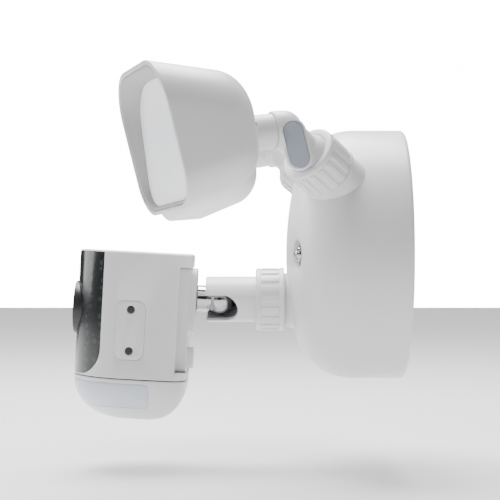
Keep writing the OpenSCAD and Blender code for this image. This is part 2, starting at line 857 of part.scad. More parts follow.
module panel_front_view(grow, top) {
    edge = panel_edge(grow);
    polygon(concat([[edge[0][0], top]], edge, mirrored(edge), [[-edge[0][0], top]]));
}

module panel_block(grow, top) {
    along_y(-camera_front - 1, -front_c) panel_front_view(grow, top);
}

module lens_axis() {
    translate([0, 0, -lens_drop]) facing_front() children();
}

module side_block(grow, r) {
    along_x(camera_r - 4, camera_r + 1)
        rounded_rect(-side_y - side_cover_w / 2 - grow, side_z - side_cover_h / 2 - grow,
                     -side_y + side_cover_w / 2 + grow, side_z + side_cover_h / 2 + grow, r);
}

module side_screw_places() {
    for (s = [-1, 1]) translate([camera_r, -side_y, side_z + s * side_screw_z])
        rotate([0, -90, 0]) children();
}

module notch() {
    translate([-camera_r - 1, -notch_y, notch_bottom])
        cube([2 * camera_r + 2, notch_y, notch_top - notch_bottom]);
}

module camera_shell() {
    color("white") at_camera() difference() {
        union() {
            difference() {
                intersection() {
                    camera_solid(0);
                    camera_slab(seam_z + gap_z, camera_top + 1);
                }
                intersection() {
                    camera_solid(camera_wall);
                    translate([-camera_r, -camera_front, seam_z - 5])
                        cube([2 * camera_r, camera_front - notch_y - camera_wall, 200]);
                }
            }
            intersection() {
                camera_solid(1);
                side_screw_places() cylinder(r = 3.4, h = 9);
            }
        }
        notch();
        difference() {
            panel_block(seat_gap, panel_top + seat_gap);
            along_z(seam_z, camera_top + 1) polygon(camera_plan(panel_t + seat_gap));
        }
        along_y(-camera_front, -front_c)
            rounded_rect(-window_half, -36, window_half, 17, 4);
        difference() {
            side_block(seat_gap, side_corner_r + seat_gap);
            along_z(seam_z, camera_top + 1) polygon(camera_plan(panel_t + seat_gap));
        }
        along_x(camera_r - 5, camera_r)
            rounded_rect(-side_y - 5, side_z - 7, -side_y + 5, side_z + 7, 2);
        side_screw_places() cylinder(r = 1.2, h = 12);
        facing_front() translate([0, 0, notch_y - 1]) cylinder(r = clip_r + 1.6, h = camera_wall + 3);
        bracket_screw_places() translate([0, 0, -1]) cylinder(r = 1.3, h = camera_wall + 3);
    }
}

module front_panel() {
    color("black") at_camera() difference() {
        intersection() {
            panel_block(0, panel_top);
            difference() {
                along_z(seam_z, panel_top) polygon(camera_plan(0));
                along_z(seam_z - 1, panel_top + 1) polygon(camera_plan(panel_t));
            }
        }
        lens_axis() cylinder(r = bezel_r - 1.5, h = camera_front + 5);
    }
}

// The ring's rear follows the curved front panel.
module lens_bezel() {
    color("black") at_camera() difference() {
        union() {
            lens_axis() translate([0, 0, camera_front - 6]) cylinder(r = bezel_r - 1.6, h = 6);
            difference() {
                lens_axis() translate([0, 0, front_c]) cylinder(r = bezel_r, h = bezel_front - front_c);
                along_z(-camera_bottom, camera_top) polygon(camera_plan(-seat_gap / 2));
            }
        }
        lens_axis() translate([0, 0, camera_front - 8]) cylinder(r = 11, h = 20);
        lens_axis() translate([0, 0, bezel_front - 1]) cylinder(r1 = 11, r2 = 12.4, h = 1.01);
    }
}

module lens_glass() {
    color("midnightblue", 0.6) at_camera() lens_axis() translate([0, 0, camera_front - 1.4])
        cylinder(r = 11 - seat_gap / 2, h = 1.4);
}

module lens_barrel() {
    color("dimgray") at_camera() lens_axis() difference() {
        union() {
            translate([0, 0, camera_front - 24]) cylinder(r = 7.5, h = 12);
            translate([0, 0, camera_front - 12]) cylinder(r = 9.6, h = 9);
        }
        translate([0, 0, camera_front - 6]) cylinder(r1 = 5, r2 = 8.6, h = 3.01);
        translate([0, 0, camera_front - 25]) cylinder(r = 4.4, h = 26);
    }
}

module image_sensor() {
    color("seagreen") at_camera() lens_axis() {
        translate([-12, -12, camera_front - 26]) cube([24, 24, 1.2]);
        translate([-4, -3.5, camera_front - 24.8]) cube([8, 7, 0.8]);
    }
}

module infrared_leds() {
    color("darkslategray") at_camera() facing_front() {
        for (x = [-9, 0, 9]) for (z = [11, -29]) translate([x, z, camera_front - 14]) {
            cylinder(r = 2.9, h = 1);
            translate([0, 0, 1]) cylinder(r = 2.5, h = 5);
            translate([0, 0, 6]) sphere(2.5);
        }
        translate([0, 0, camera_front - 14 - board_t]) linear_extrude(board_t) difference() {
            rounded_rect(-14, -33, 14, 15, 2);
            translate([0, -lens_drop]) circle(8);
        }
    }
}

module main_board() {
    color("darkgreen") at_camera() {
        translate([-26, -main_board_y - 1.6, seam_z + 8]) cube([52, 1.6, 60]);
        translate([-9, -main_board_y - 3.4, -16]) cube([18, 1.8, 18]);
        translate([-20, -main_board_y - 5.6, -34]) cube([10, 4, 8]);
    }
}

module speaker() {
    color("dimgray") at_camera() translate([0, -56, seam_z + 2]) {
        cylinder(r = 11, h = 5);
        translate([0, 0, 5]) cylinder(r = 7, h = 4);
    }
}

module wifi_antenna() {
    color("peru") at_camera() translate([-20, -60, camera_top - camera_wall - 1.4]) cube([40, 8, 1]);
}

module pir_block(grow) {
    along_x(-camera_r - 1, camera_r + 1)
        rounded_rect(-camera_front - 5, pir_bottom - grow, -pir_rear + grow, pir_top + grow, 2 + grow);
}

module bottom_cap() {
    color("whitesmoke") at_camera() difference() {
        intersection() {
            camera_solid(0);
            camera_slab(-camera_bottom - 1, seam_z - gap_z);
        }
        camera_solid(camera_wall - 0.4);
        difference() {
            pir_block(seat_gap);
            camera_solid(pir_t + seat_gap);
        }
        intersection() {
            pir_block(-2);
            camera_slab(-camera_bottom, seam_z);
        }
    }
}

module pir_window() {
    color("lavender") at_camera() intersection() {
        difference() {
            camera_solid(0);
            camera_solid(pir_t);
        }
        pir_block(0);
    }
}

module pir_sensor() {
    color("silver") at_camera() translate([0, 0, pir_z]) facing_front() {
        translate([0, 0, 60]) cylinder(r = 4.6, h = 4.5);
        translate([-10, -6, 58.4]) cube([20, 12, 1.6]);
        translate([0, 0, 59]) cylinder(r = 5.2, h = 1.5);
    }
}

module cap_seal() {
    color("dimgray") at_camera() translate([0, 0, seam_z - gap_z]) linear_extrude(2 * gap_z) difference() {
        polygon(camera_plan(0.8));
        polygon(camera_plan(camera_wall - 0.4));
    }
}

module side_cover() {
    color("white") at_camera() difference() {
        intersection() {
            side_block(0, side_corner_r);
            difference() {
                along_z(seam_z, camera_top) polygon(camera_plan(0));
                along_z(seam_z - 1, camera_top + 1) polygon(camera_plan(panel_t));
            }
        }
        side_screw_places() translate([0, 0, -1]) cylinder(r = 2.4, h = 4);
    }
}

module side_cover_screws() {
    color("dimgray") at_camera() side_screw_places() translate([0, 0, 0.5]) difference() {
        union() {
            cylinder(r = 2.3, h = 0.9);
            translate([0, 0, 0.5]) cylinder(r = 1.15, h = 8);
        }
        translate([-1.4, -0.35, -1]) cube([2.8, 0.7, 1.5]);
        translate([-0.35, -1.4, -1]) cube([0.7, 2.8, 1.5]);
    }
}

module card_reader() {
    color("silver") at_camera() translate([camera_r - 12, -side_y, side_z]) {
        translate([-1.6, -10, -12]) cube([1.6, 20, 18]);
        translate([0, -7, -11]) cube([2.8, 13, 9]);
        translate([0, -3, 0]) cube([2.8, 6, 5]);
    }
}

module reset_button() {
    color("white") at_camera() translate([camera_r - 7, -side_y, side_z + 2.5]) rotate([0, 90, 0])
        cylinder(r = 1.8, h = 3.6);
}

// ---- Camera bracket ----

module bracket_screw_places() {
    for (x = [-14, 14]) translate([x, -notch_y, -26]) facing_front() children();
}

module camera_bracket() {
    color("whitesmoke") at_camera() difference() {
        union() {
            along_y(-notch_y, -17.5)
                rounded_rect(-bracket_w / 2, notch_bottom + 0.2, bracket_w / 2, notch_top - 0.2, 3);
            along_y(-notch_y, -stem_end - 0.3) rounded_rect(-block_w / 2, -20.6, block_w / 2, 17.7, bracket_r);
            along_y(-notch_y, -stem_end - 0.3) rounded_rect(-9, -41.9, 9, -29.9, 3);
        }
        facing_front() cylinder(r = stem_pin_r + run_gap, h = 40);
        bracket_screw_places() translate([0, 0, -12]) {
            cylinder(r = 1.6, h = 14);
            cylinder(r = 3, h = 9);
        }
    }
}

module bracket_screws() {
    color("silver") at_camera() bracket_screw_places() {
        translate([0, 0, -5]) cylinder(r = 2.8, h = 2);
        translate([0, 0, -3.5]) cylinder(r = 1.25, h = 8);
    }
}

base_housing();
back_cover();
wall_gasket();
mount_bracket();
bracket_studs();
cap_nuts();
ground_screw();
cover_screws();
driver_board();
transformer();
filter_capacitors();
terminal_block();
lead_grommet();
left_lock_nut();
right_lock_nut();
camera_lock_nut();
left_ball_seat();
left_arm();
left_arm_cap();
left_lamp_shell();
left_front_frame();
left_diffuser();
left_reflector();
left_led_board();
left_heat_sink();
left_lamp_screws();
right_ball_seat();
right_arm();
right_arm_cap();
right_lamp_shell();
right_front_frame();
right_diffuser();
right_reflector();
right_led_board();
right_heat_sink();
right_lamp_screws();
camera_socket();
socket_liner();
ball_stem();
stem_clip();
camera_bracket();
bracket_screws();
camera_shell();
front_panel();
lens_bezel();
lens_glass();
lens_barrel();
infrared_leds();
main_board();
image_sensor();
speaker();
pir_window();
pir_sensor();
bottom_cap();
cap_seal();
side_cover();
side_cover_screws();
card_reader();
reset_button();
wifi_antenna();
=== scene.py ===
import json
import math

import bpy
from mathutils import Matrix, Vector


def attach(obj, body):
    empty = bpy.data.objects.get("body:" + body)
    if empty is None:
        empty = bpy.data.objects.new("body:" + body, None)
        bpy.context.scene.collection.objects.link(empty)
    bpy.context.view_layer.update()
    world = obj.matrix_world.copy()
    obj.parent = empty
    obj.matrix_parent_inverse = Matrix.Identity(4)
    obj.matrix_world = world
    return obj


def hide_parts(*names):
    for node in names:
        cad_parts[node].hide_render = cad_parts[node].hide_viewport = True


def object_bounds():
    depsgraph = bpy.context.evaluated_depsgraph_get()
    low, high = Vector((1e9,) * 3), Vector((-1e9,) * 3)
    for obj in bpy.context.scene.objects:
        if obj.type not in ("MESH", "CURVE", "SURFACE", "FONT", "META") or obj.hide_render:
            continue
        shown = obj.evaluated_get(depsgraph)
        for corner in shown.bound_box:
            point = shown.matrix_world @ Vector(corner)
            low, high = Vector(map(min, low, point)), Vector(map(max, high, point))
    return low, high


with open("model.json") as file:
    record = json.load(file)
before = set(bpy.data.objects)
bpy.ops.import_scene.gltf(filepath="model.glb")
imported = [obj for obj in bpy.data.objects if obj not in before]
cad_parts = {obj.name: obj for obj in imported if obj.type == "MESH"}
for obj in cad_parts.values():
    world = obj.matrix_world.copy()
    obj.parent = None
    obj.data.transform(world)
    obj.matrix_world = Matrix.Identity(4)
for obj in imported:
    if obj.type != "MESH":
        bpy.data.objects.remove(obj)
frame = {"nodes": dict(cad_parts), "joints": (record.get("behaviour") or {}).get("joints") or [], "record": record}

cadLow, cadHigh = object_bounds()
mm = 0.001
jointsByName = {joint["name"]: joint for joint in frame["joints"]}


# Selecting and shaping

def deselectAll():
    active = bpy.context.view_layer.objects.active
    if active and active.mode != "OBJECT":
        bpy.ops.object.mode_set(mode="OBJECT")
    bpy.ops.object.select_all(action="DESELECT")


def activate(piece):
    deselectAll()
    piece.select_set(True)
    bpy.context.view_layer.objects.active = piece
    return piece


def named(name):
    piece = bpy.context.object
    piece.name = piece.data.name = name
    return piece


def pick(piece, kind, test):  # leaves the piece in edit mode with what passes the test selected
    activate(piece)
    bpy.ops.object.mode_set(mode="EDIT")
    bpy.ops.mesh.select_mode(type=kind)
    bpy.ops.mesh.select_all(action="DESELECT")
    bpy.ops.object.mode_set(mode="OBJECT")
    mesh = piece.data
    if kind == "FACE":
        for face in mesh.polygons:
            face.select = bool(test(face.center, face.normal))
    elif kind == "EDGE":
        for edge in mesh.edges:
            a, b = (mesh.vertices[i].co for i in edge.vertices)
            edge.select = bool(test((a + b) / 2, (b - a).normalized()))
    else:
        for vertex in mesh.vertices:
            vertex.select = bool(test(vertex.co))
    bpy.ops.object.mode_set(mode="EDIT")


def leaveEdit():
    bpy.ops.object.mode_set(mode="OBJECT")


def tidyFaces(piece, merge=0.00002):
    activate(piece)
    bpy.ops.object.mode_set(mode="EDIT")
    bpy.ops.mesh.select_all(action="SELECT")
    bpy.ops.mesh.remove_doubles(threshold=merge)
    bpy.ops.mesh.normals_make_consistent(inside=False)
    leaveEdit()
    return piece


def box(name, low, high):
    deselectAll()
    size = [b - a for a, b in zip(low, high)]
    middle = [(a + b) / 2 for a, b in zip(low, high)]
    bpy.ops.mesh.primitive_cube_add(size=1, location=middle, scale=size)
    bpy.ops.object.transform_apply(location=True, rotation=True, scale=True)
    return named(name)


def ringBody(name, rings, sides=96, closed=False):
    # rings are (radius, height) pairs; closed joins the last ring to the first
    deselectAll()
    radius, height = rings[0]
    fill = "NOTHING" if closed else "NGON"
    bpy.ops.mesh.primitive_circle_add(vertices=sides, radius=radius, fill_type=fill, location=(0, 0, height))
    bpy.ops.object.transform_apply(location=True, rotation=True, scale=True)
    piece = named(name)
    bpy.ops.object.mode_set(mode="EDIT")
    bpy.ops.mesh.select_mode(type="EDGE")
    bpy.ops.mesh.select_all(action="SELECT")
    for newRadius, newHeight in (rings[1:] + rings[:1] if closed else rings[1:]):
        bpy.ops.mesh.extrude_region_move(TRANSFORM_OT_translate={"value": (0, 0, newHeight - height)})
        if newRadius == 0:
            bpy.ops.mesh.merge(type="CENTER")
        else:
            grow = newRadius / radius
            bpy.ops.transform.resize(value=(grow, grow, 1), center_override=(0, 0, 0))
        radius, height = newRadius, newHeight
    leaveEdit()
    return tidyFaces(piece)


def arcRings(centreRadius, centreHeight, r, start, end, steps):
    # ring sizes along an arc, angles in degrees from the outward direction
    angles = [math.radians(start + (end - start) * i / steps) for i in range(steps + 1)]
    return [(max(centreRadius + r * math.cos(a), 0), centreHeight + r * math.sin(a)) for a in angles]


def cut(piece, tool, operation="DIFFERENCE", keep=False):
    activate(piece)
    modifier = piece.modifiers.new("cut", "BOOLEAN")
    modifier.operation = operation
    modifier.solver = "EXACT"
    modifier.object = tool
    bpy.ops.object.modifier_apply(modifier=modifier.name)
    if not keep:
        bpy.data.objects.remove(tool)
    return piece


def joined(piece, *others):
    activate(piece)
    for other in others:
        other.select_set(True)
    bpy.ops.object.join()
    return piece


def copied(piece, name):
    other = piece.copy()
    other.data = piece.data.copy()
    other.name = other.data.name = name
    bpy.context.scene.collection.objects.link(other)
    return other


def soften(piece, width, segments=2, angle=32):
    activate(piece)
    modifier = piece.modifiers.new("soften", "BEVEL")
    modifier.width = width
    modifier.segments = segments
    modifier.limit_method = "ANGLE"
    modifier.angle_limit = math.radians(angle)
    modifier.miter_outer = "MITER_ARC"
    bpy.ops.object.modifier_apply(modifier=modifier.name)
    return piece


def thicken(piece, thickness, offset=-1):
    activate(piece)
    modifier = piece.modifiers.new("thicken", "SOLIDIFY")
    modifier.thickness = thickness
    modifier.offset = offset
    modifier.use_even_offset = True
    bpy.ops.object.modifier_apply(modifier=modifier.name)
    return piece


def remeshed(piece, voxel, smoothing):
    activate(piece)
    modifier = piece.modifiers.new("remesh", "REMESH")
    modifier.mode = "VOXEL"
    modifier.voxel_size = voxel
    bpy.ops.object.modifier_apply(modifier=modifier.name)
    modifier = piece.modifiers.new("relax", "SMOOTH")
    modifier.factor = 0.5
    modifier.iterations = smoothing
    bpy.ops.object.modifier_apply(modifier=modifier.name)
    return piece


def placed(piece, place):
    piece.data.transform(place)
    return piece


def mirrored(piece, name):
    other = copied(piece, name)
    other.data.transform(Matrix.Scale(-1, 4, (1, 0, 0)))
    other.data.flip_normals()
    return other


def dress(piece, material, slotName, body, *nodes, angle=35):
    activate(piece)
    bpy.ops.object.shade_smooth_by_angle(angle=math.radians(angle))
    piece.data.materials.clear()
    piece.data.materials.append(material)
    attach(piece, body)
    if nodes:
        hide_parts(*nodes)
    return piece


# Shader maths on sockets

class Value:
    def __init__(self, tree, socket):
        self.tree = tree
        self.socket = socket

    def maths(self, operation, other):
        return self.tree.node("ShaderNodeMath", {"operation": operation}, {0: self, 1: other})

    def __add__(self, other):
        return self.maths("ADD", other)

    def __mul__(self, other):
        return self.maths("MULTIPLY", other)

    def __lt__(self, other):
        return self.maths("LESS_THAN", other)

    __radd__ = __add__
    __rmul__ = __mul__


class Finish:
    def __init__(self, name):
        self.material = bpy.data.materials.new(name)
        self.material.use_nodes = True
        self.tree = self.material.node_tree
        self.shader = self.tree.nodes["Principled BSDF"]
        self.place = self.node("ShaderNodeTexCoord", {}, {}, "Object")

    def node(self, kind, settings, inputs, output=0):
        made = self.tree.nodes.new(kind)
        stops = settings.pop("stops", None)
        for key, value in settings.items():
            setattr(made, key, value)
        if stops:
            ramp = made.color_ramp
            for element, (position, colour) in zip(ramp.elements, stops):
                element.position, element.color = position, colour
        for key, value in inputs.items():
            if isinstance(value, Value):
                self.tree.links.new(value.socket, made.inputs[key])
            else:
                made.inputs[key].default_value = value
        return Value(self, made.outputs[output])

    def feed(self, key, value):
        if isinstance(value, Value):
            self.tree.links.new(value.socket, self.shader.inputs[key])
        else:
            self.shader.inputs[key].default_value = value

    def noise(self, scale, detail=3, roughness=0.5):
        settings = {"noise_dimensions": "3D"}
        sizes = {"Vector": self.place, "Scale": scale, "Detail": detail, "Roughness": roughness}
        return self.node("ShaderNodeTexNoise", settings, sizes)

    def blend(self, mask, first, second):
        return self.node("ShaderNodeMix", {"data_type": "RGBA"}, {0: mask, 6: first, 7: second}, 2)

    def bump(self, height, distance, strength=1.0):
        made = self.node("ShaderNodeBump", {}, {"Height": height, "Distance": distance, "Strength": strength})
        self.feed("Normal", made)


def shade(colour, factor):
    return tuple(channel * factor for channel in colour) + (1,)


def mouldedPlastic(name, colour, roughness=0.42, grain=0.00002, grainScale=2600, variation=0.02, coat=0.0):
    finish = Finish(name)
    cloud = finish.noise(14, 2)
    finish.feed("Base Color", finish.blend(cloud, shade(colour, 1 - variation), shade(colour, 1 + variation)))
    finish.feed("Roughness", finish.noise(60, 4) * 0.12 + (roughness - 0.06))
    finish.bump(finish.noise(grainScale, 2), grain)
    if coat:
        finish.feed("Coat Weight", coat)
        finish.feed("Coat Roughness", 0.06)
    return finish


def brushedMetal(name, colour, roughness, stretch=(1, 1, 24), scale=900):
    finish = Finish(name)
    lines = finish.node("ShaderNodeMapping", {}, {"Vector": finish.place, "Scale": stretch})
    streak = finish.node("ShaderNodeTexNoise", {}, {"Vector": lines, "Scale": scale, "Detail": 2})
    finish.feed("Base Color", finish.blend(streak, shade(colour, 0.9), shade(colour, 1.06)))
    finish.feed("Metallic", 1.0)
    finish.feed("Roughness", streak * 0.14 + (roughness - 0.07))
    finish.bump(streak, 0.000006)
    return finish


finishes = {}


def addFinish(name, finish):
    finishes[name] = finish.material


def makeFinishes():
    addFinish("white_plastic", mouldedPlastic("whiteShell", (0.76, 0.76, 0.775), 0.36))
    addFinish("cover_plastic", mouldedPlastic("backCoverPlastic", (0.62, 0.62, 0.62), 0.55, 0.00004))
    # the lining's darker grey-brown is painted shade: the inside of the hood gets a darker colour for the shade
    # that falls in it
    addFinish("warm_plastic", mouldedPlastic("hoodLiningPaintedShade", (0.47, 0.455, 0.45), 0.6, 0.00004, 1800))
    addFinish("grey_plastic", mouldedPlastic("ballSeatNylon", (0.2, 0.2, 0.21), 0.5, 0.00003))
    addFinish("cap_grey", mouldedPlastic("armCapGrey", (0.36, 0.39, 0.46), 0.5, 0.00003))
    addFinish("black_plastic", mouldedPlastic("lensBarrelBlack", (0.012, 0.012, 0.013), 0.55, 0.00004))
    addFinish("rubber", mouldedPlastic("sealRubber", (0.03, 0.03, 0.032), 0.75, 0.00005, 1400, 0.15))
    addFinish("foam", foamFinish())
    addFinish("black_gloss", blackGlassFinish())
    addFinish("milky", milkyFinish("milkyWindow", (0.66, 0.69, 0.78)))
    addFinish("diffuser", diffuserFinish())
    addFinish("bezel", mouldedPlastic("bezelSatin", (0.02, 0.02, 0.024), 0.4, 0.00002, 2200, 0.1))
    addFinish("lens", lensFinish())
    addFinish("chrome", polishedFinish("chromeBall", (0.5, 0.5, 0.515), 0.06))
    addFinish("zinc_steel", brushedMetal("zincSteel", (0.62, 0.61, 0.57), 0.34))
    addFinish("spring_steel", brushedMetal("springSteel", (0.3, 0.3, 0.31), 0.3))
    addFinish("aluminium", brushedMetal("castAluminium", (0.62, 0.63, 0.65), 0.42))
    addFinish("can", brushedMetal("tinnedCan", (0.6, 0.61, 0.62), 0.28))
    addFinish("dark_steel", mouldedPlastic("blackenedScrew", (0.05, 0.05, 0.055), 0.4, 0.00003, 3000, 0.2))
    addFinish("green_steel", mouldedPlastic("greenLacquer", (0.03, 0.25, 0.08), 0.3, 0.00003, 3000, 0.15))
    addFinish("board", boardFinish())
    addFinish("winding", windingFinish())
    addFinish("terminal", mouldedPlastic("terminalOrange", (0.62, 0.2, 0.04), 0.35, 0.00002))
    addFinish("ir_led", mouldedPlastic("ledEpoxy", (0.03, 0.012, 0.02), 0.12, 0.00001, 2000, 0.1, 0.5))
    addFinish("reflector", mouldedPlastic("reflectorWhite", (0.86, 0.86, 0.85), 0.2, 0.00001))
    addFinish("led_board", mouldedPlastic("ledBoardWhite", (0.8, 0.79, 0.74), 0.35, 0.00002))


def foamFinish():
    finish = mouldedPlastic("gasketFoam", (0.035, 0.035, 0.037), 0.9, 0.00002, 1500, 0.2)
    cells = finish.node("ShaderNodeTexVoronoi", {}, {"Vector": finish.place, "Scale": 1400}, "Distance")
    finish.bump(cells, 0.0003)
    return finish


def blackGlassFinish():
    finish = Finish("blackPanelGloss")
    smudge = finish.noise(38, 4, 0.6)
    # painted reflections: faint lighter discs scattered on the gloss stand in for reflected spots of light
    scale = 190
    paintedReflectionPattern = {"Vector": finish.place, "Scale": scale, "Randomness": 0.45}
    paintedReflectionRadius = 0.0016
    paintedReflectionSpots = finish.node("ShaderNodeTexVoronoi", {}, paintedReflectionPattern, "Distance") < paintedReflectionRadius * scale
    tint = finish.blend(smudge, (0.010, 0.012, 0.013, 1), (0.016, 0.019, 0.020, 1))
    # the lighter discs mixed into the tint are painted reflections, not parts behind the window
    finish.feed("Base Color", finish.blend(paintedReflectionSpots * 0.6, tint, (0.05, 0.055, 0.058, 1)))
    finish.feed("Roughness", smudge * 0.1 + 0.2)
    finish.feed("Coat Weight", 0.35)
    finish.feed("Coat Roughness", 0.12)
    finish.bump(finish.noise(9, 1), 0.00012)
    return finish


def milkyFinish(name, colour):
    finish = Finish(name)
    haze = finish.noise(22, 2)
    finish.feed("Base Color", finish.blend(haze, shade(colour, 0.97), shade(colour, 1.03)))
    finish.feed("Roughness", finish.noise(90, 3) * 0.1 + 0.24)
    finish.feed("Subsurface Weight", 0.25)
    finish.feed("Subsurface Scale", 0.003)
    cells = finish.node("ShaderNodeTexVoronoi", {}, {"Vector": finish.place, "Scale": 420}, "Distance")
    finish.bump(cells, 0.00005)
    return finish


def diffuserFinish():
    # sheet over the lamps: fine cells, and painted light: a faint emission brightens the sheet, standing in for
    # light that passes through it
    finish = milkyFinish("diffuserSheet", (0.86, 0.87, 0.9))
    # painted light: this emission makes the sheet glow though no lamp inside it is lit
    finish.feed("Emission Color", (0.93, 0.96, 1, 1))
    finish.feed("Emission Strength", 0.55)
    return finish


def lensFinish():
    finish = Finish("coatedLens")
    tint = finish.noise(60, 1)
    finish.feed("Base Color", finish.blend(tint, (0.03, 0.025, 0.07, 1), (0.05, 0.06, 0.10, 1)))
    finish.feed("Roughness", finish.noise(80, 2) * 0.03 + 0.01)
    finish.feed("Coat Weight", 1.0)
    finish.feed("Coat Roughness", 0.01)
    finish.feed("IOR", 1.7)
    finish.feed("Alpha", 0.55)
    return finish


def polishedFinish(name, colour, roughness):
    finish = Finish(name)
    marks = finish.noise(1800, 3)
    finish.feed("Base Color", finish.blend(finish.noise(40, 2), shade(colour, 0.97), shade(colour, 1.02)))
    finish.feed("Metallic", 1.0)
    finish.feed("Roughness", marks * 0.05 + (roughness - 0.02))
    finish.bump(marks, 0.000002)
    return finish


def boardFinish():
    finish = Finish("solderMask")
    tracks = finish.node("ShaderNodeTexBrick", {"offset": 0.5}, {
        "Vector": finish.place, "Color1": (0.006, 0.085, 0.03, 1), "Color2": (0.008, 0.10, 0.035, 1),
        "Mortar": (0.02, 0.17, 0.06, 1), "Scale": 60, "Mortar Size": 0.03}, "Color")
    finish.feed("Base Color", tracks)
    finish.feed("Roughness", finish.noise(120, 2) * 0.15 + 0.25)
    finish.bump(finish.noise(700, 2), 0.00003)
    return finish


def windingFinish():
    finish = Finish("woundTape")
    wraps = finish.node("ShaderNodeTexWave", {"bands_direction": "Z"}, {"Vector": finish.place, "Scale": 220})
    finish.feed("Base Color", finish.blend(wraps, (0.5, 0.34, 0.04, 1), (0.62, 0.46, 0.08, 1)))
    finish.feed("Roughness", finish.noise(150, 2) * 0.15 + 0.3)
    finish.bump(wraps, 0.00006)
    return finish


# Places of the moving groups, from the frame's joints

lampValues = {
    "yaw": 20, "pitch": 7, "roll": 2.8,
    "armLength": 25.3 * mm, "neckLength": 25 * mm,
    "armDirection": Vector((0.522, -0.648, 0.557)).normalized(),
    "ballBeyondBoss": 17.3 * mm,
}
cameraPitch = 3
slotTurn = 28
facingFront = Matrix.Rotation(math.radians(90), 4, "X")


def along(direction):
    turn = Matrix.Rotation(math.atan2(direction.y, direction.x), 4, "Z")
    return turn @ Matrix.Rotation(math.acos(direction.z / direction.length), 4, "Y")


def groupPlaces():
    swivel = jointsByName["right_lamp_swivel"]
    ball = Vector(swivel["pos_m"])
    bossDirection = Vector(swivel["axis"]).normalized()
    boss = ball - bossDirection * lampValues["ballBeyondBoss"]
    yaw, pitch = math.radians(lampValues["yaw"]), math.radians(lampValues["pitch"])
    turn = Matrix.Rotation(yaw, 4, "Z") @ Matrix.Rotation(pitch, 4, "X")
    forward = turn @ Vector((0, -1, 0))
    elbow = ball + lampValues["armDirection"] * lampValues["armLength"]
    lamp = elbow + forward * lampValues["neckLength"]
    lampTurn = turn @ Matrix.Rotation(math.radians(-lampValues["roll"]), 4, "Y")
    cameraBall = Vector(jointsByName["stem_swing"]["pos_m"])
    armTurn = Matrix.Rotation(math.radians(slotTurn), 4, "Y") @ facingFront
    return {
        "ball": ball, "elbow": elbow, "forward": forward,
        "boss": Matrix.Translation(boss) @ along(bossDirection),
        "lamp": Matrix.Translation(lamp) @ lampTurn,
        "cameraArm": Matrix.Translation((0, 0, cameraBall.z)) @ armTurn,
        "camera": Matrix.Translation(cameraBall) @ Matrix.Rotation(math.radians(-cameraPitch), 4, "X"),
    }


places = groupPlaces()


# Base

baseValues = {
    "radius": 74 * mm, "depth": 69.5 * mm, "cornerRadius": 34 * mm, "domeRadius": 204 * mm, "wall": 3 * mm,
    "rearEdge": 2.4 * mm, "studX": 44.45 * mm, "recessRadius": 8.8 * mm, "recessDepth": 6 * mm,
    "lampBoss": 15.6 * mm, "lampSpigot": 14.4 * mm, "cameraBoss": 15.7 * mm, "cameraSpigot": 15.5 * mm,
}


def domeProfile(values):
    cornerX = values["radius"] - values["cornerRadius"]
    reach = values["domeRadius"] - values["cornerRadius"]
    lean = math.degrees(math.asin(cornerX / reach))
    domeCentre = values["depth"] - values["domeRadius"]
    cornerCentre = domeCentre + math.sqrt(reach ** 2 - cornerX ** 2)
    corner = arcRings(cornerX, cornerCentre, values["cornerRadius"], 0, 90 - lean, 20)
    dome = arcRings(0, domeCentre, values["domeRadius"], 90 - lean, 90, 12)
    return corner, dome[1:-1] + [(0, values["depth"])], domeCentre


